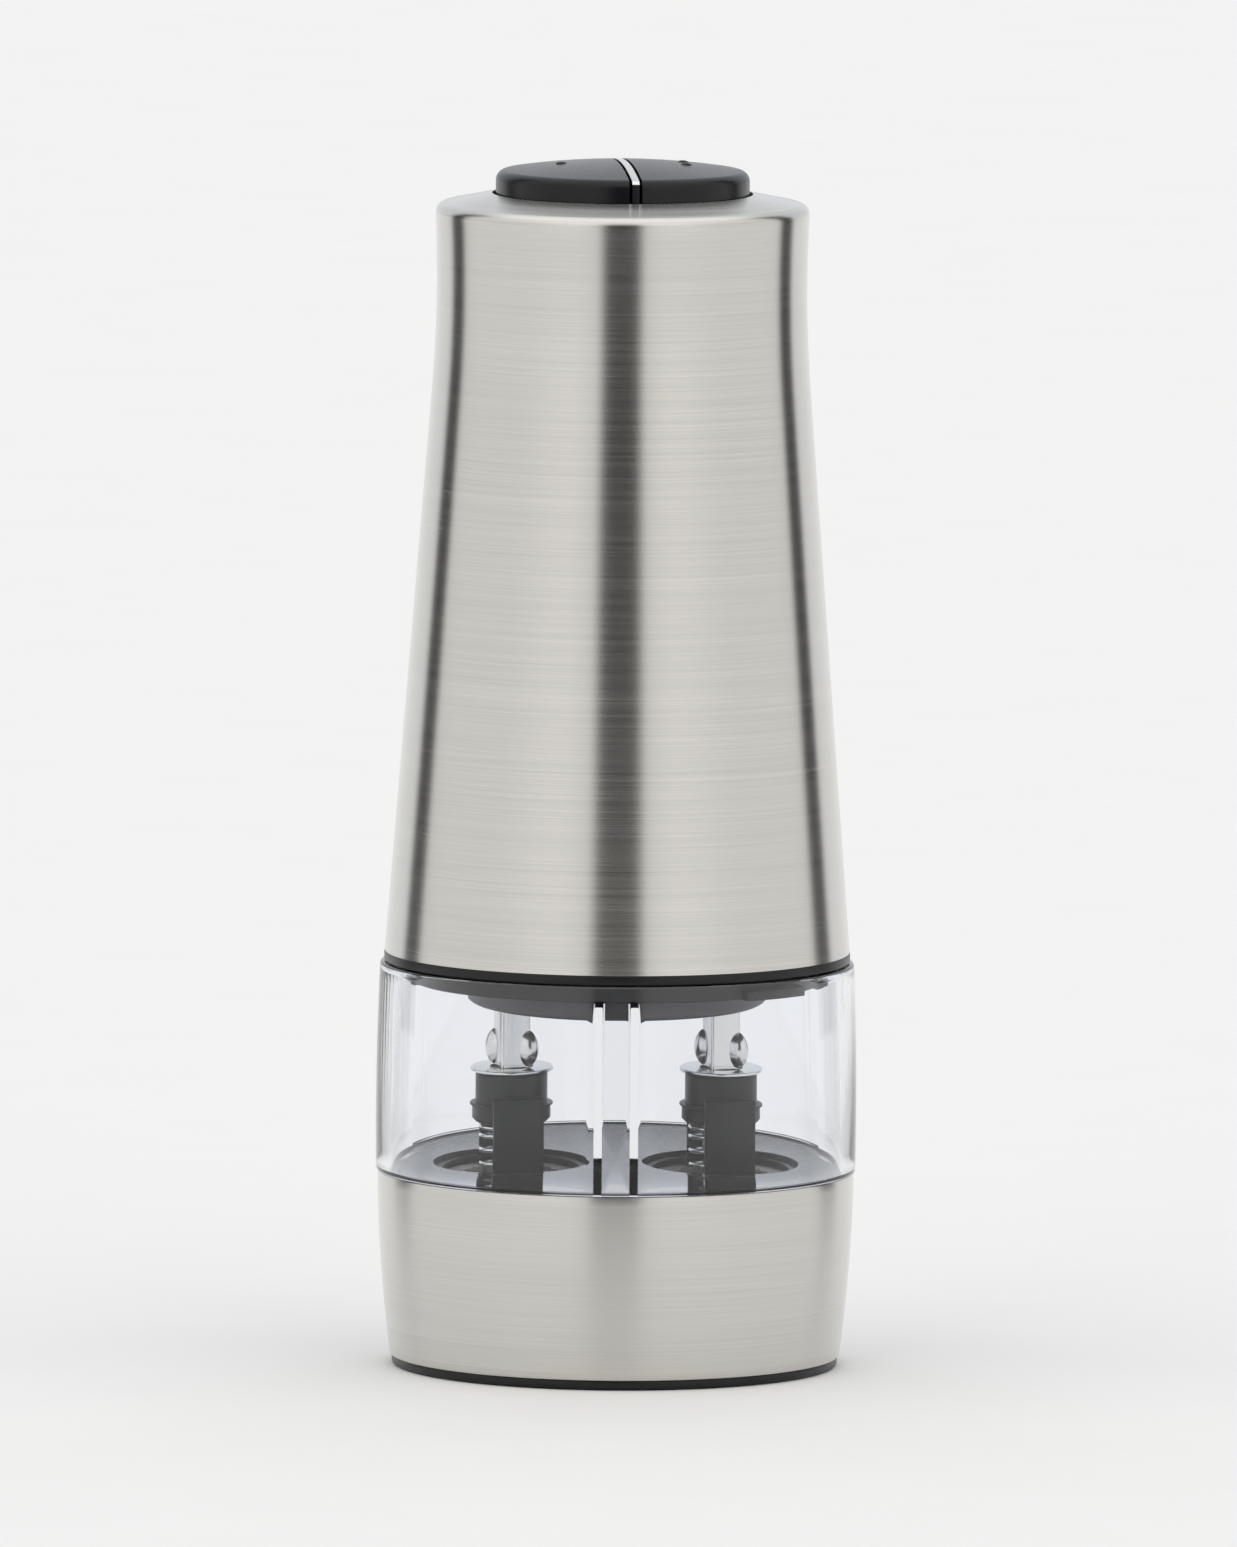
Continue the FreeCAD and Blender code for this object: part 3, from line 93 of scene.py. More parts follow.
class Flow:
    """One output socket, with the sums and products that add Math nodes."""

    def __init__(self, tree, socket):
        self.tree = tree
        self.socket = socket

    def maths(self, operation, *values):
        return add(self.tree, "ShaderNodeMath", {"operation": operation}, dict(enumerate(values)))

    def __add__(self, other):
        return self.maths("ADD", self, other)

    def __radd__(self, other):
        return self.maths("ADD", other, self)

    def __rsub__(self, other):
        return self.maths("SUBTRACT", other, self)

    def __mul__(self, other):
        return self.maths("MULTIPLY", self, other)


def add(tree, kind, settings=None, sockets=None, output=0):
    """Add a node, set its options, fill its sockets with values or links, and hand back one output."""
    node = tree.nodes.new(kind)
    for name, value in (settings or {}).items():
        setattr(node, name, value)
    for name, value in (sockets or {}).items():
        if isinstance(value, Flow):
            tree.links.new(value.socket, node.inputs[name])
        else:
            node.inputs[name].default_value = value
    return Flow(tree, node.outputs[output])


def new_finish(name, **constants):
    """A material with one Principled shader whose even values are set on the shader itself."""
    material = bpy.data.materials.new(name)
    material.use_nodes = True
    tree = material.node_tree
    shader = tree.nodes["Principled BSDF"]
    for socket, value in constants.items():
        shader.inputs[socket.replace("_", " ")].default_value = value
    return material, tree, shader


def feed(tree, shader, **flows):
    """Link varying values into the shader's sockets."""
    for socket, flow in flows.items():
        tree.links.new(flow.socket, shader.inputs[socket.replace("_", " ")])


def grain(tree, scale, detail=2.0, stretch=(1.0, 1.0, 1.0)):
    """Noise over the piece's own coordinates, stretched along each axis."""
    place = add(tree, "ShaderNodeTexCoord", output=OBJECT_OUT)
    drawn = add(tree, "ShaderNodeMapping", {}, {"Vector": place, "Scale": stretch})
    return add(tree, "ShaderNodeTexNoise", {}, {"Vector": drawn, "Scale": scale, "Detail": detail})


def tint(tree, amount, dark, light):
    """A colour between two, by an amount."""
    return add(tree, "ShaderNodeMix", {"data_type": "RGBA"},
               {"Factor": amount, COLOUR_A: dark, COLOUR_B: light}, output=COLOUR_OUT)


def relief(tree, height, depth, strength=1.0):
    """Bump that stands a given depth proud, in metres."""
    return add(tree, "ShaderNodeBump", {}, {"Height": height, "Distance": depth, "Strength": strength})


print("shader helpers ready")

# %% [markdown]
# ## Brushed steel
# The sleeve and the skirt are drawn steel, brushed round and round on a lathe. The scratches are hundreds
# of fine rings: noise that changes quickly with height and slowly round the axis gives them. They feed
# the roughness, the colour and a very shallow bump. Brushing also smears reflections across the
# scratches, which is what the shader's anisotropy is for.

# %% Steel finishes
FINE_RINGS = (18.0, 18.0, 5200.0)
BROAD_RINGS = (9.0, 9.0, 700.0)
SCRATCH_DEPTH = 0.000004
FLECKS = 900.0
FLECK_DEPTH = 0.000008


def brushed_steel(name, colour, roughness):
    material, tree, shader = new_finish(name, Metallic=1.0, Anisotropic=0.86, Anisotropic_Rotation=0.25)
    rings = grain(tree, 1.0, 3.0, FINE_RINGS)
    broad = grain(tree, 1.0, 2.0, BROAD_RINGS)
    streak = rings * 0.8 + broad * 0.2
    light = (*[channel * 1.16 for channel in colour], 1.0)
    dark = (*[channel * 0.80 for channel in colour], 1.0)
    feed(tree, shader, Base_Color=tint(tree, streak, dark, light),
         Roughness=streak * 0.12 + (roughness - 0.06), Normal=relief(tree, streak, SCRATCH_DEPTH))
    return material


def plain_metal(name, colour, roughness):
    material, tree, shader = new_finish(name, Metallic=1.0)
    marks = grain(tree, FLECKS, 4.0)
    dark = (*[channel * 0.92 for channel in colour], 1.0)
    feed(tree, shader, Base_Color=tint(tree, marks, dark, (*colour, 1.0)),
         Roughness=marks * 0.14 + (roughness - 0.07), Normal=relief(tree, marks, FLECK_DEPTH))
    return material


sleeve_steel = brushed_steel("sleeve_steel", (0.66, 0.645, 0.615), 0.25)
bright_steel = plain_metal("bright_steel", (0.80, 0.80, 0.79), 0.17)
zinc_steel = plain_metal("zinc_steel", (0.60, 0.60, 0.58), 0.34)
plain_brass = plain_metal("plain_brass", (0.76, 0.60, 0.30), 0.28)
print("steel finishes made")

# %% [markdown]
# ## Plastics, ceramic and the clear chamber
# Moulded plastic is never one flat colour: the mould leaves a fine texture that breaks the gloss up, so
# noise drives the roughness and a small bump. The chamber is clear acrylic with a faint blue cast. It is
# made with transmission, and its real wall thickness does the bending of light.

# %% Plastic finishes


def moulded(name, colour, roughness, texture=2400.0, depth=0.000015, gloss=0.5):
    material, tree, shader = new_finish(name, Specular_IOR_Level=gloss)
    pits = grain(tree, texture, 3.0)
    cloud = grain(tree, 60.0, 2.0)
    light = (*[min(1.0, channel * 1.12 + 0.002) for channel in colour], 1.0)
    feed(tree, shader, Base_Color=tint(tree, cloud, (*colour, 1.0), light),
         Roughness=pits * 0.16 + cloud * 0.08 + (roughness - 0.12), Normal=relief(tree, pits, depth))
    return material


def clear_acrylic(name):
    material, tree, shader = new_finish(name, Base_Color=(0.965, 0.975, 1.0, 1.0), IOR=1.46, Roughness=0.015,
                                        Transmission_Weight=1.0)
    waves = grain(tree, 55.0, 1.0)
    feed(tree, shader, Normal=relief(tree, waves, 0.000025, 0.6))
    return material


black_plastic = moulded("black_plastic", (0.007, 0.0068, 0.008), 0.32, gloss=0.32)
button_plastic = moulded("button_plastic", (0.005, 0.0055, 0.008), 0.27, 3200.0, 0.000008, 0.30)
pale_plastic = moulded("pale_plastic", (0.60, 0.62, 0.68), 0.45)
core_plastic = moulded("core_plastic", (0.075, 0.07, 0.08), 0.38)
gear_plastic = moulded("gear_plastic", (0.82, 0.80, 0.74), 0.38)
board_green = moulded("board_green", (0.03, 0.20, 0.09), 0.35)
cell_wrap = moulded("cell_wrap", (0.06, 0.09, 0.14), 0.30)
burr_ceramic = moulded("burr_ceramic", (0.80, 0.78, 0.72), 0.52, 1800.0, 0.00002)
chamber_acrylic = clear_acrylic("chamber_acrylic")
print("plastic finishes made")

# %% [markdown]
# ## Turning a piece on the lathe
# Nearly every part of the mill is round, so one helper does most of the work: it draws half of the
# piece's section as a chain of points, rounds chosen corners with a vertex bevel, and spins the chain
# about the axis. Spinning needs its last ring merged with its first, and the faces are turned outwards
# at the end.

# %% Lathe helpers
MM = 0.001
ROUND_STEPS = 144
FINE_STEPS = 192


def bow(start, end, rise, steps=16):
    """Points of a shallow arc between two points, bulging to the right of the way by a rise."""
    a = Vector(start)
    b = Vector(end)
    run = b - a
    half = run.length / 2
    radius = (half ** 2 + rise ** 2) / (2 * abs(rise))
    right = Vector((run.y, -run.x)).normalized() * math.copysign(1.0, rise)
    centre = (a + b) / 2 - right * (radius - abs(rise))
    along = run.normalized()
    reach = math.asin(half / radius)
    points = []
    for step in range(steps + 1):
        angle = reach * (2 * step / steps - 1)
        spot = centre + along * (radius * math.sin(angle)) + right * (radius * math.cos(angle))
        points.append((spot.x, spot.y))
    return points


def spun(outline, rounds=(), steps=ROUND_STEPS, segments=4):
    """A closed section of (radius, height) points spun about the Z axis.

    rounds lists (width, corner indices) for the corners that are rounded first.
    """
    bm = bmesh.new()
    corners = [bm.verts.new((radius, 0.0, height)) for radius, height in outline]
    for here, there in zip(corners, corners[1:] + corners[:1]):
        if here.co.x > 0 or there.co.x > 0:
            bm.edges.new((here, there))
    for width, picked in rounds:
        bmesh.ops.bevel(bm, geom=[corners[index] for index in picked], offset=width, offset_type="OFFSET",
                        affect="VERTICES", segments=segments, profile=0.5, material=-1)
    bmesh.ops.spin(bm, geom=bm.verts[:] + bm.edges[:], cent=(0, 0, 0), axis=(0, 0, 1), angle=2 * math.pi,
                   steps=steps, use_merge=True)
    bmesh.ops.remove_doubles(bm, verts=bm.verts, dist=1e-6)
    bmesh.ops.recalc_face_normals(bm, faces=bm.faces)
    return bm


def slab(low, high, soft=0.0, segments=3):
    """A box between two corners with its edges rounded."""
    bm = bmesh.new()
    bmesh.ops.create_cube(bm, size=1.0)
    size = Vector(high) - Vector(low)
    bmesh.ops.scale(bm, vec=size, verts=bm.verts)
    bmesh.ops.translate(bm, vec=(Vector(high) + Vector(low)) / 2, verts=bm.verts)
    if soft:
        bmesh.ops.bevel(bm, geom=bm.edges[:], offset=soft, offset_type="OFFSET", affect="EDGES",
                        segments=segments, profile=0.5, material=-1)
    return bm


def joined(*parts):
    """Several bmeshes gathered into one."""
    whole = bmesh.new()
    for part in parts:
        scratch = bpy.data.meshes.new("scratch")
        part.to_mesh(scratch)
        part.free()
        whole.from_mesh(scratch)
        bpy.data.meshes.remove(scratch)
    return whole


def moved(bm, shift=(0.0, 0.0, 0.0), yaw=0.0):
    """Turn a bmesh about Z and then shift it."""
    bmesh.ops.rotate(bm, verts=bm.verts, cent=(0, 0, 0), matrix=Matrix.Rotation(yaw, 3, "Z"))
    bmesh.ops.translate(bm, verts=bm.verts, vec=shift)
    return bm


def to_object(bm, name, finish, sharp=32.0):
    """Turn a bmesh into an object with smooth faces that break at sharp edges."""
    mesh = bpy.data.meshes.new(name)
    bm.to_mesh(mesh)
    bm.free()
    mesh.shade_smooth()
    mesh.set_sharp_from_angle(angle=math.radians(sharp))
    mesh.materials.append(finish)
    thing = bpy.data.objects.new(name, mesh)
    scene.collection.objects.link(thing)
    return thing


def dress(bm, node, finish, sharp=32.0):
    """Put a finished piece in place of a solid, on the same body."""
    thing = to_object(bm, f"{node}_skin", finish, sharp)
    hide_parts(node)
    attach(thing, frame["nodes"][node]["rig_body"])
    print(node, "faces:", len(thing.data.polygons))
    return thing


def carve(thing, tool, operation):
    """Apply a boolean with a tool object to a piece, and remove the tool."""
    change = thing.modifiers.new("carve", "BOOLEAN")
    change.operation = operation
    change.solver = "EXACT"
    change.object = tool
    graph = bpy.context.evaluated_depsgraph_get()
    result = bpy.data.meshes.new_from_object(thing.evaluated_get(graph))
    thing.modifiers.remove(change)
    thing.data = result
    bpy.data.objects.remove(tool)
    return thing


slot_of = {part["node"]: part["material_slot"] for part in frame["record"]["subparts"]}
SIDES = (("salt", math.pi), ("pepper", 0.0))
print("lathe ready, slots:", len(set(slot_of.values())))

# %% [markdown]
# ## The tapered sleeve
# The upper shell is one piece of thin steel: a straight taper, a neck that draws in and flares again, a
# rolled edge and a shoulder that climbs a little to the buttons. Its section is a thin closed loop, so
# that the sleeve has a real wall.

# %% Upper shell
shell_low, shell_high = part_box("upper_shell")
SLEEVE_SHARP = 50.0
SHELL_WALL = 0.7 * MM
TAPER_TOP = Vector((32.2 * MM, shell_low.z + 96.3 * MM))
NECK_TOP = Vector((31.8 * MM, TAPER_TOP.y + 29.8 * MM))
NECK_DRAW = 0.483 * MM
EDGE_ROUND = 1.8 * MM
OPENING = 22.2 * MM


def shell_outline(inset):
    """The sleeve's section from the bottom edge up to the button opening, moved in by a wall."""
    neck = bow((TAPER_TOP.x - inset, TAPER_TOP.y), (NECK_TOP.x - inset, NECK_TOP.y), -NECK_DRAW, 20)
    taper = [(shell_high.x - inset + (TAPER_TOP.x - shell_high.x) * share,
              shell_low.z + (TAPER_TOP.y - shell_low.z) * share) for share in (0.0, 0.25, 0.5, 0.75)]
    bend = EDGE_ROUND - inset
    roll = [(NECK_TOP.x - EDGE_ROUND + bend * math.cos(angle), NECK_TOP.y + bend * math.sin(angle))
            for angle in (math.pi / 16 * step for step in range(1, 9))]
    slope = [(OPENING, shell_high.z - inset)]
    return taper + neck + roll + slope


outer = shell_outline(0.0)
inner = shell_outline(SHELL_WALL)
dress(spun(outer + inner[::-1], steps=FINE_STEPS), "upper_shell", sleeve_steel, SLEEVE_SHARP)

# %% [markdown]
# ## The steel skirt
# The skirt round the grinders swells gently from the foot to the chamber. It is turned the same way, with
# its two outer edges softened.

# %% Lower skirt
skirt_low, skirt_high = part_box("lower_skirt")
SKIRT_FOOT = 38.3 * MM
SKIRT_SWELL = 0.505 * MM
SKIRT_SOFT = 0.25 * MM


def skirt_outline(inset):
    """The skirt's side from the foot up, moved in by a wall."""
    return bow((SKIRT_FOOT - inset, skirt_low.z), (skirt_high.x - inset, skirt_high.z), SKIRT_SWELL, 18)


outer = skirt_outline(0.0)
inner = skirt_outline(SHELL_WALL)
skirt = spun(outer + inner[::-1], [(SKIRT_SOFT, (0, len(outer) - 1))], steps=FINE_STEPS)
dress(skirt, "lower_skirt", sleeve_steel, SLEEVE_SHARP)

# %% [markdown]
# ## The black foot
# The foot is a moulded plate with a rounded lip, two outlets for the ground spice and four sunk screws.
# Holes are cut with an exact boolean, because they cross the spun faces.

# %% Base cover
cover_low, cover_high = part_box("base_cover")
AXIS = 18.0 * MM
OUTLET = 11.8 * MM
LIP_TOP = 1.5 * MM
SPIGOT = 35.0 * MM
SCREW_SPOT = Vector((12.0 * MM, 26.0 * MM))
SINK_RADIUS = 2.7 * MM
SINK_DEPTH = 1.8 * MM
PILOT_RADIUS = 1.3 * MM
BELOW = -2 * MM
ABOVE = 6 * MM


def plug(radius, low, high, spot, steps=64):
    """A round tool for cutting a hole."""
    bm = spun([(0.0, low), (radius, low), (radius, high), (0.0, high)], steps=steps)
    return to_object(moved(bm, (*spot, 0.0)), "plug", black_plastic)


foot_outline = [(0.0, cover_low.z), (cover_high.x, cover_low.z), (cover_high.x, LIP_TOP), (SPIGOT, LIP_TOP),
                (SPIGOT, cover_high.z), (0.0, cover_high.z)]
foot = dress(spun(foot_outline, [(0.5 * MM, (1,)), (0.25 * MM, (2,))]), "base_cover", black_plastic)
for sign in (-1, 1):
    carve(foot, plug(OUTLET, BELOW, ABOVE, (sign * AXIS, 0.0)), "DIFFERENCE")
    for across in (-1, 1):
        spot = (sign * SCREW_SPOT.x, across * SCREW_SPOT.y)
        carve(foot, plug(SINK_RADIUS, BELOW, SINK_DEPTH, spot, 32), "DIFFERENCE")
        carve(foot, plug(PILOT_RADIUS, BELOW, ABOVE, spot, 24), "DIFFERENCE")

# %% [markdown]
# ## The clear chamber
# The chamber is one clear moulding: a tub with two throats in its floor, a double wall that divides it in
# two, and lugs under the rim for the bayonet. Clear pieces must be a single closed skin, because light
# bends at every face, so the walls and lugs are joined to the tub with booleans.

# %% Spice chamber
tub_low, tub_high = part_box("spice_chamber")
FLOOR_TOP = skirt_high.z
FLOOR_UNDER = FLOOR_TOP - 2.0 * MM
RIM_TOP = tub_high.z
TUB_FOOT = 40.9 * MM
TUB_RIM = 40.4 * MM
TUB_SWELL = 0.266 * MM
TUB_WALL = 2.3 * MM
SPIGOT_IN = 37.6 * MM
SPIGOT_OUT = 39.1 * MM
THROAT = 13.4 * MM
DIVIDER_NEAR = 2.3 * MM
DIVIDER_FAR = 3.7 * MM
DIVIDER_TOP = FLOOR_TOP + 32.0 * MM
LUG_INNER = 36.9 * MM
LUG_LOW = RIM_TOP - 1.6 * MM
LUG_TOP = RIM_TOP - 0.2 * MM
LUG_SPREAD = math.radians(60)
SEAT_EDGE = 39.3 * MM
RIM_SOFT = 0.5 * MM
FLOOR_SOFT = 0.8 * MM
FOOT_SOFT = 0.35 * MM
DIVIDER_SOFT = 0.25 * MM
TUB_SHARP = 30.0


def ring_part(inner_radius, outer_radius, low, high, middle, spread, steps=24):
    """Part of a ring, made by spinning its section through an angle and capping the ends."""
    bm = bmesh.new()
    section = [(inner_radius, low), (outer_radius, low), (outer_radius, high), (inner_radius, high)]
    face = bm.faces.new([bm.verts.new((radius, 0.0, height)) for radius, height in section])
    bmesh.ops.rotate(bm, verts=bm.verts, cent=(0, 0, 0), matrix=Matrix.Rotation(middle - spread / 2, 3, "Z"))
    bmesh.ops.spin(bm, geom=[face] + face.edges[:] + face.verts[:], cent=(0, 0, 0), axis=(0, 0, 1),
                   angle=spread, steps=steps, use_duplicate=False)
    bmesh.ops.holes_fill(bm, edges=bm.edges)
    bmesh.ops.recalc_face_normals(bm, faces=bm.faces)
    return bm


tub_side = bow((TUB_FOOT, FLOOR_TOP), (TUB_RIM, RIM_TOP), TUB_SWELL, 12)
tub_under = [(0.0, FLOOR_UNDER), (SPIGOT_IN, FLOOR_UNDER), (SPIGOT_IN, tub_low.z), (SPIGOT_OUT, tub_low.z),
             (SEAT_EDGE, FLOOR_TOP)]
tub_inside = [(TUB_RIM - TUB_WALL, RIM_TOP), (TUB_FOOT - TUB_WALL, FLOOR_TOP), (0.0, FLOOR_TOP)]
side_foot = len(tub_under)
rim = side_foot + len(tub_side) - 1
tub_rounds = [(RIM_SOFT, (rim, rim + 1)), (FLOOR_SOFT, (rim + 2,)), (FOOT_SOFT, (side_foot,))]
tub_shape = spun(tub_under + tub_side + tub_inside, tub_rounds)
tub = dress(tub_shape, "spice_chamber", chamber_acrylic, TUB_SHARP)
in_wall = TUB_RIM - TUB_WALL / 2
for sign in (-1, 1):
    carve(tub, plug(THROAT, FLOOR_UNDER - MM, FLOOR_TOP + MM, (sign * AXIS, 0.0), 96), "DIFFERENCE")
    near, far = sorted((sign * DIVIDER_NEAR, sign * DIVIDER_FAR))
    wall = slab((near, -in_wall, FLOOR_TOP - MM), (far, in_wall, DIVIDER_TOP), DIVIDER_SOFT)
    carve(tub, to_object(wall, "divider", chamber_acrylic), "UNION")
    lug = ring_part(LUG_INNER, in_wall, LUG_LOW, LUG_TOP, 0.0 if sign > 0 else math.pi, LUG_SPREAD)
    carve(tub, to_object(lug, "lug", chamber_acrylic), "UNION")
tub.data.shade_smooth()
tub.data.set_sharp_from_angle(angle=math.radians(TUB_SHARP))
print("chamber faces:", len(tub.data.polygons))

# %% [markdown]
# ## The bayonet ring
# A black ring turns with the sleeve. Only its band shows between the steel and the clear rim, but its skirt
# and two tabs hang inside the chamber where the lugs hold them, and they show through the clear wall.

# %% Lock ring
ring_low, ring_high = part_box("lock_ring")
BAND_LOW = RIM_TOP + 0.1 * MM
BAND_TOP = shell_low.z
RING_BORE = 34.9 * MM
RING_SKIRT = 36.5 * MM
RING_LIP = 33.9 * MM
RING_SPIGOT = 38.2 * MM
TAB_REACH = 37.8 * MM
TAB_TOP = ring_low.z + 1.4 * MM
TAB_ROOT = RING_SKIRT - 0.8 * MM
TAB_SPREAD = math.radians(20)
RING_SPIGOT_IN = RING_SPIGOT - 1.2 * MM
LIP_LOW = RIM_TOP + 0.4 * MM
ring_outline = [(RING_BORE, ring_low.z), (RING_SKIRT, ring_low.z), (RING_SKIRT, BAND_LOW),
                (ring_high.x, BAND_LOW), (ring_high.x, BAND_TOP), (RING_SPIGOT, BAND_TOP),
                (RING_SPIGOT, ring_high.z), (RING_SPIGOT_IN, ring_high.z), (RING_SPIGOT_IN, BAND_TOP),
                (RING_LIP, BAND_TOP), (RING_LIP, LIP_LOW), (RING_BORE, LIP_LOW)]
tabs = [ring_part(TAB_ROOT, TAB_REACH, ring_low.z, TAB_TOP, math.radians(turn), TAB_SPREAD, 8)
        for turn in (-45, 135)]
dress(joined(spun(ring_outline, [(0.25 * MM, (3, 4)), (0.3 * MM, (1,))]), *tabs), "lock_ring", black_plastic)

# %% [markdown]
# ## The drive plate
# The plate closes the chamber from above. Two half-round bosses reach down between the divider and the
# wall, and a key between the divider's walls stops the plate from turning. A half-round comes from
# slicing a spun disc with a plane and closing the cut.

# %% Drive plate
plate_low, plate_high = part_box("drive_plate")
PLATE_UNDER = RIM_TOP - 3.3 * MM
BOSS_RADIUS = 26.0 * MM
BOSS_SIDE = 4.1 * MM
HUB_BORE = 5.05 * MM
KEY = Vector((2.0 * MM, 25.0 * MM))


def sliced(bm, place, beyond=True):
    """Cut a bmesh with a plane across X, keep what lies beyond it or before it, and close the cut."""
    cut = bmesh.ops.bisect_plane(bm, geom=bm.verts[:] + bm.edges[:] + bm.faces[:], dist=1e-7,
                                 plane_co=(place, 0, 0), plane_no=(1, 0, 0), clear_inner=beyond,
                                 clear_outer=not beyond)
    rim_edges = [part for part in cut["geom_cut"] if isinstance(part, bmesh.types.BMEdge)]
    bmesh.ops.edgeloop_fill(bm, edges=rim_edges)
    bmesh.ops.recalc_face_normals(bm, faces=bm.faces)
    return bm


boss_top = PLATE_UNDER + MM
boss_outline = [(0.0, plate_low.z), (BOSS_RADIUS, plate_low.z), (BOSS_RADIUS, boss_top), (0.0, boss_top)]
disc_outline = [(0.0, PLATE_UNDER), (plate_high.x, PLATE_UNDER), (plate_high.x, plate_high.z),
                (0.0, plate_high.z)]
plate = dress(spun(disc_outline, [(0.4 * MM, (1,))]), "drive_plate", core_plastic)
for turn in (0.0, math.pi):
    boss = moved(sliced(spun(boss_outline, [(0.9 * MM, (1,))]), BOSS_SIDE), yaw=turn)
    carve(plate, to_object(boss, "boss", core_plastic), "UNION")
key = slab((-KEY.x, -KEY.y, plate_low.z), (KEY.x, KEY.y, boss_top), 0.3 * MM)
carve(plate, to_object(key, "key", core_plastic), "UNION")
for sign in (-1, 1):
    carve(plate, plug(HUB_BORE, plate_low.z - MM, plate_high.z + MM, (sign * AXIS, 0.0)), "DIFFERENCE")

# %% [markdown]
# ## The grinder in the chamber
# Each compartment has the same stack: a square steel shaft with two pressed ears, a washer under them, a
# black cup in a bridge with two legs, and a spring below that pushes the burr down. The pair is made by
# one function, once on each side of the divider.

# %% Shafts, washers, cups and bridges
SHAFT_YAW = math.radians(18)
BRIDGE_YAW = math.radians(10)
SHAFT_HALF = 2.6 * MM
SHAFT_PIN = 2.2 * MM
EAR = Vector((1.4 * MM, 1.5 * MM, 6.2 * MM))
EAR_SUNK = 0.8 * MM
EAR_TURNS = (135, 315)
SQUARE_DROP = 1.55 * MM
BUSH_SPIGOT = 5.2 * MM
BUSH_SPIGOT_RISE = 2.6 * MM
BUSH_BODY = 6.2 * MM
BUSH_FLANGE_RISE = 0.4 * MM
LEG = Vector((4.35 * MM, 7.35 * MM, 8.8 * MM))
BRIDGE_INNER = 11.7 * MM
BRIDGE_OUTER = 13.1 * MM
BRIDGE_RISE = 1.2 * MM
BRIDGE_SOFT = 0.3 * MM
COLLAR_DROP = 0.1 * MM
COLLAR_RISE = 2.7 * MM
COLLAR_BORE = 5.3 * MM
COLLAR = 6.75 * MM
COLLAR_CHAMFER = 0.6 * MM
WEB_IN = 5.95 * MM
WEB_SHARE = 0.6
STEP_REACH = 12.26 * MM


def make_shaft(side, x):
    low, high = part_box(f"{side}_shaft")
    washer_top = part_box(f"{side}_washer")[1].z
    square_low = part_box(f"{side}_outer_burr")[0].z - SQUARE_DROP
    bar = slab((-SHAFT_HALF, -SHAFT_HALF, square_low), (SHAFT_HALF, SHAFT_HALF, high.z), 0.45 * MM)
    pin = spun([(0.0, low.z), (SHAFT_PIN, low.z), (SHAFT_PIN, square_low + MM), (0.0, square_low + MM)],
               [(0.3 * MM, (1,))], 32)
    parts = [bar, pin]
    for turn in EAR_TURNS:
        ear = bmesh.new()
        bmesh.ops.create_uvsphere(ear, u_segments=24, v_segments=16, radius=1.0)
        bmesh.ops.scale(ear, verts=ear.verts, vec=(EAR.x + EAR_SUNK, EAR.y, EAR.z / 2))
        reach = SHAFT_HALF * math.sqrt(2) - EAR_SUNK
        bmesh.ops.translate(ear, verts=ear.verts, vec=(reach, 0, washer_top + EAR.z / 2))
        parts.append(moved(ear, yaw=math.radians(turn)))
    dress(moved(joined(*parts), (x, 0, 0), SHAFT_YAW), f"{side}_shaft", bright_steel)


def make_cup(side, x):
    low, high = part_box(f"{side}_washer")
    wide = (high.x - low.x) / 2
    bore = SHAFT_HALF * math.sqrt(2) + 0.05 * MM
    ring = spun([(bore, low.z), (wide, low.z), (wide, high.z), (bore, high.z)], [(0.14 * MM, (1, 2))], 96)
    dress(moved(ring, (x, 0, 0)), f"{side}_washer", bright_steel)
    low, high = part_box(f"{side}_bush")
    flange = (high.x - low.x) / 2
    spigot_top = low.z + BUSH_SPIGOT_RISE
    flange_top = spigot_top + BUSH_FLANGE_RISE
    cup = spun([(bore, low.z), (BUSH_SPIGOT, low.z), (BUSH_SPIGOT, spigot_top), (flange, spigot_top),
                (flange, flange_top), (BUSH_BODY, flange_top), (BUSH_BODY, high.z), (bore, high.z)],
               [(0.15 * MM, (3, 4)), (0.5 * MM, (6,))], 96)
    dress(moved(cup, (x, 0, 0)), f"{side}_bush", black_plastic)


def make_bridge(side, x):
    low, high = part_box(f"{side}_bridge")
    collar_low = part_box(f"{side}_bush")[0].z - COLLAR_DROP
    collar_top = collar_low + COLLAR_RISE
    ring_top = low.z + BRIDGE_RISE
    ring = spun([(BRIDGE_INNER, low.z), (BRIDGE_OUTER, low.z), (BRIDGE_OUTER, ring_top),
                 (BRIDGE_INNER, ring_top)], [(BRIDGE_SOFT, (2, 3))], 96)
    chamfer_top = collar_low + COLLAR_CHAMFER
    collar = spun([(COLLAR_BORE, collar_low), (COLLAR - COLLAR_CHAMFER, collar_low), (COLLAR, chamfer_top),
                   (COLLAR, collar_top), (COLLAR_BORE, collar_top)], steps=96)
    parts = [ring, collar]
    for turn in (0.0, math.pi):
        leg = slab((-LEG.x, -LEG.z, low.z), (LEG.x, -LEG.y, high.z), 0.4 * MM)
        half_web = LEG.x * WEB_SHARE
        web = slab((-half_web, -LEG.y - 0.5 * MM, chamfer_top), (half_web, -WEB_IN, collar_top))
        step = slab((-LEG.x, -STEP_REACH, low.z), (LEG.x, -LEG.y, ring_top), BRIDGE_SOFT)
        parts += [moved(leg, yaw=turn), moved(web, yaw=turn), moved(step, yaw=turn)]
    dress(moved(joined(*parts), (x, 0, 0), BRIDGE_YAW), f"{side}_bridge", black_plastic)


for side, turn in SIDES:
    x = AXIS * math.cos(turn)
    make_shaft(side, x)
    make_cup(side, x)
    make_bridge(side, x)
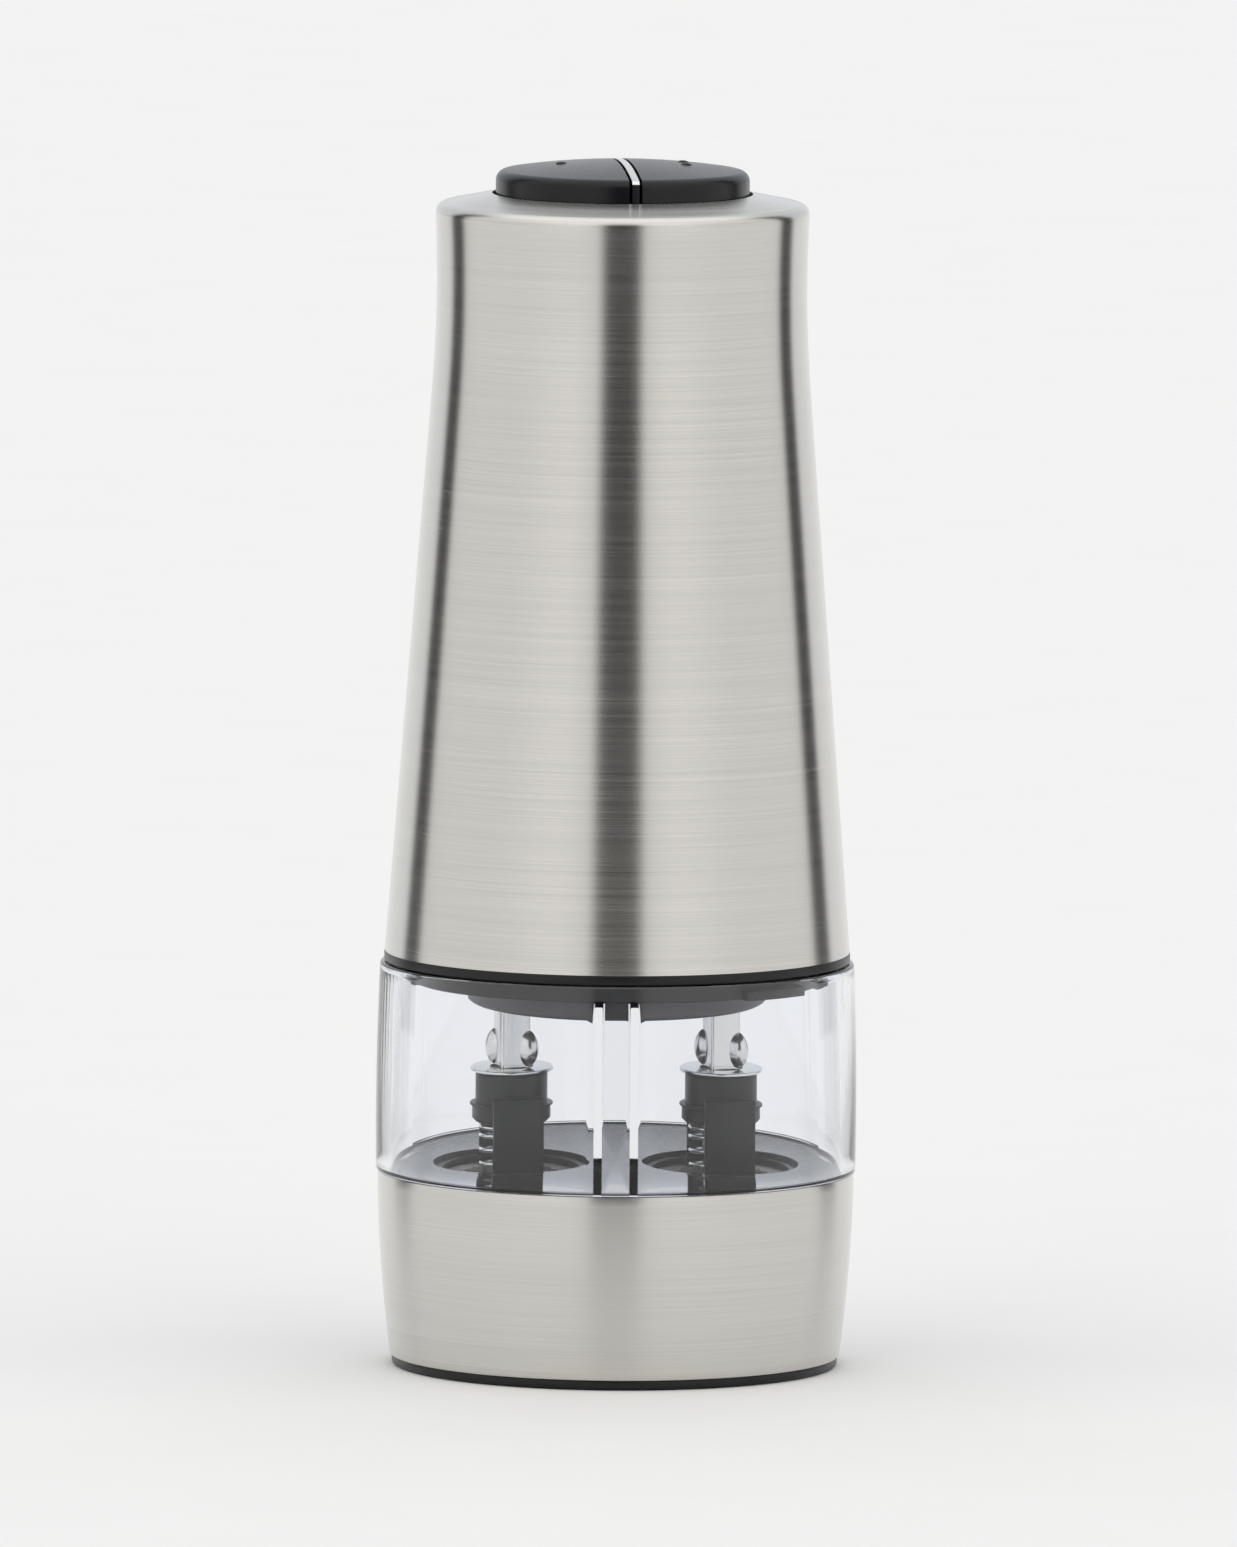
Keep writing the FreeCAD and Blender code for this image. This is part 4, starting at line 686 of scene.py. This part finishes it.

# %% [markdown]
# ## The springs
# A spring is a small circle spun while it climbs. The spin operator takes a climb per step, so the coil is
# drawn in three runs: a flat turn at each end, for seating, and the open turns between them.

# %% Springs


def coil(wire, radius, low, high, turns, steps=28):
    """A round wire wound up between two heights with one closed turn at each end."""
    bm = bmesh.new()
    ring = bmesh.ops.create_circle(bm, segments=10, radius=wire / 2)["verts"]
    upright = Matrix.Rotation(math.pi / 2, 4, "X")
    start = Matrix.Translation((radius - wire / 2, 0, low + wire / 2))
    bmesh.ops.transform(bm, matrix=start @ upright, verts=ring)
    ends = wire * 1.06
    middle = high - low - wire - 2 * ends
    loop = bm.verts[:] + bm.edges[:]
    for count, climb in ((1, ends), (turns - 2, middle), (1, ends)):
        number = int(count * steps)
        run = bmesh.ops.spin(bm, geom=loop, cent=(0, 0, 0), axis=(0, 0, 1), angle=2 * math.pi * count,
                             steps=number, dvec=(0, 0, climb / number))
        loop = run["geom_last"]
    bmesh.ops.remove_doubles(bm, verts=bm.verts, dist=1e-6)
    bmesh.ops.holes_fill(bm, edges=bm.edges)
    bmesh.ops.recalc_face_normals(bm, faces=bm.faces)
    return bm


TURNS = 6
FEED_WIRE = 0.8 * MM
PRESS_WIRE = 0.6 * MM


def make_spring(node, wire):
    """Wind a spring in its solid's place."""
    low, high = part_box(node)
    middle = (low + high) / 2
    winding = coil(wire, (high.x - low.x) / 2, low.z, high.z, TURNS)
    spring = dress(moved(winding, (middle.x, middle.y, 0)), node, bright_steel, 60.0)
    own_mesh(spring)


for side, _ in SIDES:
    make_spring(f"{side}_spring", FEED_WIRE)
    make_spring(f"{side}_button_spring", PRESS_WIRE)

# %% [markdown]
# ## The buttons and the rib between them
# Two half-moon buttons share one domed shape, so a hollow dome is spun and sliced, and the pair is the same
# piece turned round. One raised dot tells salt and two tell pepper. The bright rib between them follows the
# dome.

# %% Buttons
BUTTON_YAW = math.radians(6)
BUTTON = 21.6 * MM
BUTTON_WALL = 1.6 * MM
BUTTON_SOFT = 1.5 * MM
FLAT_SIDE = 1.1 * MM
STEM = Vector((10.5 * MM, 2.2 * MM))
button_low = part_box("pepper_button")[0]
rib_low, rib_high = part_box("button_rib")
DOME_TOP = rib_high.z
DOME_RISE = 1.8 * MM
DOME_EDGE = DOME_TOP - DOME_RISE
BUTTON_LOW = shell_high.z - 6.2 * MM
FLANGE_TOP = BUTTON_LOW + 4.72 * MM
FLANGE_LOW = FLANGE_TOP - 1.2 * MM
FLANGE = BUTTON + 1.6 * MM
WITHIN = BUTTON - 0.4 * MM
DOT = 1.0 * MM
DOT_SUNK = 0.1 * MM
DOT_SHIFT = 2.5 * MM
FLATTENED = (1, 1, 0.45)


def dome(radius, edge, top, steps=14):
    """Half of a domed top, from its outer edge to the middle."""
    full = bow((radius, edge), (-radius, edge), top - edge, 2 * steps)
    return [(max(spot, 0.0), height) for spot, height in full[:steps + 1]]


def make_button(side, turn, dots):
    crown_top = dome(BUTTON, DOME_EDGE, DOME_TOP)
    hollow_top = dome(BUTTON - BUTTON_WALL, DOME_EDGE - BUTTON_WALL, DOME_TOP - BUTTON_WALL)
    side_wall = [(BUTTON - BUTTON_WALL, BUTTON_LOW), (BUTTON, BUTTON_LOW), (BUTTON, FLANGE_LOW),
                 (FLANGE, FLANGE_LOW), (FLANGE, FLANGE_TOP), (BUTTON, FLANGE_TOP)]
    outline = side_wall + crown_top + hollow_top[::-1]
    crown = sliced(spun(outline, [(BUTTON_SOFT, (len(side_wall),))], segments=8), FLAT_SIDE)
    sheet = spun([(0.0, BUTTON_LOW), (WITHIN, BUTTON_LOW), (WITHIN, DOME_EDGE - MM)]
                 + dome(WITHIN, DOME_EDGE - MM, DOME_TOP - MM)[1:])
    wall = sliced(sliced(sheet, FLAT_SIDE), FLAT_SIDE + BUTTON_WALL, beyond=False)
    stem = spun([(0.0, button_low.z), (STEM.y, button_low.z), (STEM.y, DOME_EDGE), (0.0, DOME_EDGE)],
                steps=32)
    parts = [crown, wall, moved(stem, (STEM.x, 0, 0))]
    for place in dots:
        dot = bmesh.new()
        bmesh.ops.create_uvsphere(dot, u_segments=24, v_segments=12, radius=DOT)
        bmesh.ops.scale(dot, verts=dot.verts, vec=FLATTENED)
        height = DOME_TOP - DOME_RISE * (STEM.x ** 2 + place ** 2) / BUTTON ** 2
        parts.append(moved(dot, (STEM.x, place, height - DOT_SUNK)))
    dress(moved(joined(*parts), yaw=BUTTON_YAW + turn), f"{side}_button", button_plastic)


for (side, turn), dots in zip(SIDES, ((0.0,), (-DOT_SHIFT, DOT_SHIFT))):
    make_button(side, turn, dots)

# %% [markdown]
# ## The rib
# The rib is a thin slice of the same dome, cut by two planes. Only its top is bright, so the faces that
# look sideways take the black finish.

# %% Rib
RIB_HALF = 0.6 * MM
RIB_REACH = BUTTON - 0.1 * MM
RIB_SOFT = 0.8 * MM
LOOKS_UP = 0.5
rib_outline = [(0.0, rib_low.z), (RIB_REACH, rib_low.z)] + dome(RIB_REACH, DOME_EDGE, DOME_TOP)
blade = sliced(sliced(spun(rib_outline, [(RIB_SOFT, (2,))]), -RIB_HALF), RIB_HALF, beyond=False)
rib = dress(moved(blade, yaw=BUTTON_YAW), "button_rib", bright_steel)
rib.data.materials.append(button_plastic)
for side_face in (face for face in rib.data.polygons if face.normal.z < LOOKS_UP):
    side_face.material_index = 1

# %% [markdown]
# ## The works inside
# The gears, motors, cells and board are already exact solids and stay as they are. They only need the
# finish of what they are made of, chosen by the material slot that each one carries.

# %% Finishes for the solids that stay
finish_of = {
    "brushed_steel": sleeve_steel, "clear_plastic": chamber_acrylic, "black_plastic": black_plastic,
    "button_plastic": button_plastic, "bright_steel": bright_steel, "ceramic": burr_ceramic,
    "gear_plastic": gear_plastic, "grey_plastic": core_plastic, "zinc_steel": zinc_steel,
    "brass": plain_brass, "cell_wrap": cell_wrap, "pale_plastic": pale_plastic, "board_green": board_green,
    "switch_black": black_plastic,
}
for node, solid in frame["nodes"].items():
    if not solid.material_slots:
        solid.data.materials.append(finish_of[slot_of[node]])
    for place in solid.material_slots:
        place.material = finish_of[slot_of[node]]
print("solids dressed:", len(frame["nodes"]))

# %% [markdown]
# ## Camera
# A long lens from five metres, a little above the middle of the mill and looking slightly down. The photo
# was taken with the camera a touch out of level, so the camera is rolled by the same small angle.

# %% Camera
AIM = Vector((0.0, 0.0, 0.101))
DISTANCE = 5.0
LOOK_DOWN = math.radians(6.0)
ROLL = math.radians(0.42)
VIEW_HEIGHT = 0.2635
lens = bpy.data.cameras.new("camera")
lens.sensor_fit = "VERTICAL"
lens.sensor_height = 24.0
lens.lens = lens.sensor_height * DISTANCE / VIEW_HEIGHT
lens.clip_end = 100.0
camera = bpy.data.objects.new("camera", lens)
scene.collection.objects.link(camera)
camera.location = AIM + Vector((0, -math.cos(LOOK_DOWN), math.sin(LOOK_DOWN))) * DISTANCE
tilt = Matrix.Rotation(math.pi / 2 - LOOK_DOWN, 3, "X")
camera.rotation_euler = (tilt @ Matrix.Rotation(ROLL, 3, "Z")).to_euler()
scene.camera = camera
print("camera at", tuple(round(value, 3) for value in camera.location))

# %% [markdown]
# ## Light and floor
# Steel shows whatever stands round it. Two wide soft boxes light the mill from the left and the right, with
# a dark gap between them where the camera stands and dark edges beyond them, and a white backdrop behind.
# They are drawn in the world by compass direction, so every ray meets the same studio. The floor is pale
# paper that fills the picture and keeps the shadow, and the steel skirt, which leans out, shows it. Outside
# the picture, strips of dark cloth lie on it in line with the gaps between the soft boxes.

# %% World and floor
BOX_STARTS = (9.0, 15.0)
BOX_ENDS = (113.0, 118.0)
GLOW_STARTS = (12.0, 30.0)
GLOW_ENDS = (32.0, 70.0)
BACKDROP_STARTS = (128.0, 133.0)
CEILING_STARTS = (0.55, 0.85)
BOX_LEVEL = 0.86
GLOW_LEVEL = 0.16
BACKDROP_LEVEL = 0.82
GAP_LEVEL = 0.02
CEILING_LEVEL = 1.24
world = bpy.data.worlds.new("studio")
scene.world = world
world.use_nodes = True
sky = world.node_tree


def fade(value, low, high):
    """A smooth step from 0 to 1 as a value passes between two marks."""
    return add(value.tree, "ShaderNodeMapRange", {"interpolation_type": "SMOOTHSTEP"},
               {"Value": value, "From Min": low, "From Max": high})


def compass(tree, coordinates):
    """East, north and up of a place or a direction, and its bearing from the camera's side in degrees."""
    way = add(tree, "ShaderNodeTexCoord", output=coordinates)
    split = tree.nodes.new("ShaderNodeSeparateXYZ")
    tree.links.new(way.socket, split.inputs[0])
    east, north, up = (Flow(tree, socket) for socket in split.outputs)
    bearing = east.maths("ABSOLUTE", east.maths("ARCTAN2", east, north * -1.0)) * (180 / math.pi)
    return east, north, up, bearing


def soft_boxes(bearing):
    """1 where a soft box stands and 0 in the dark gaps, by bearing."""
    return fade(bearing, *BOX_STARTS) * (1.0 - fade(bearing, *BOX_ENDS))


def behind(bearing):
    """1 where the white backdrop stands, by bearing."""
    return fade(bearing, *BACKDROP_STARTS)


_, _, up, bearing = compass(sky, DIRECTION_OUT)
boxes = soft_boxes(bearing)
glow = fade(bearing, *GLOW_STARTS) * (1.0 - fade(bearing, *GLOW_ENDS))
backdrop = behind(bearing)
ceiling = fade(up, *CEILING_STARTS)
sides = boxes * (BOX_LEVEL + glow * GLOW_LEVEL) + backdrop * BACKDROP_LEVEL + GAP_LEVEL
level = sides * (1.0 - ceiling) + ceiling * CEILING_LEVEL
warm = tint(sky, backdrop, (1.0, 0.99, 0.965, 1.0), (0.93, 0.96, 1.0, 1.0))
shade = add(sky, "ShaderNodeVectorMath", {"operation": "SCALE"}, {0: warm, "Scale": level})
sky.links.new(shade.socket, sky.nodes["Background"].inputs["Color"])

CLOTH_STARTS = (0.33, 0.36)
CLOTH = (0.03, 0.03, 0.03, 1.0)
FLOOR_RADIUS = 12.0
FLOOR_DROP = 0.0002
ground = bmesh.new()
bmesh.ops.create_circle(ground, cap_ends=True, segments=64, radius=FLOOR_RADIUS)
paper, paper_tree, paper_shader = new_finish("floor_paper", Roughness=0.9, Specular_IOR_Level=0.1)
fibre = grain(paper_tree, 30.0)
paper_colour = tint(paper_tree, fibre, (0.90, 0.90, 0.90, 1.0), (0.92, 0.92, 0.92, 1.0))
east, north, _, bearing = compass(paper_tree, OBJECT_OUT)
reach = east.maths("SQRT", east * east + north * north)
cloth = fade(reach, *CLOTH_STARTS) * (1.0 - soft_boxes(bearing)) * (1.0 - behind(bearing))
feed(paper_tree, paper_shader, Base_Color=tint(paper_tree, cloth, paper_colour, CLOTH))
floor = to_object(ground, "floor", paper)
floor.location.z = -FLOOR_DROP
print("studio ready")
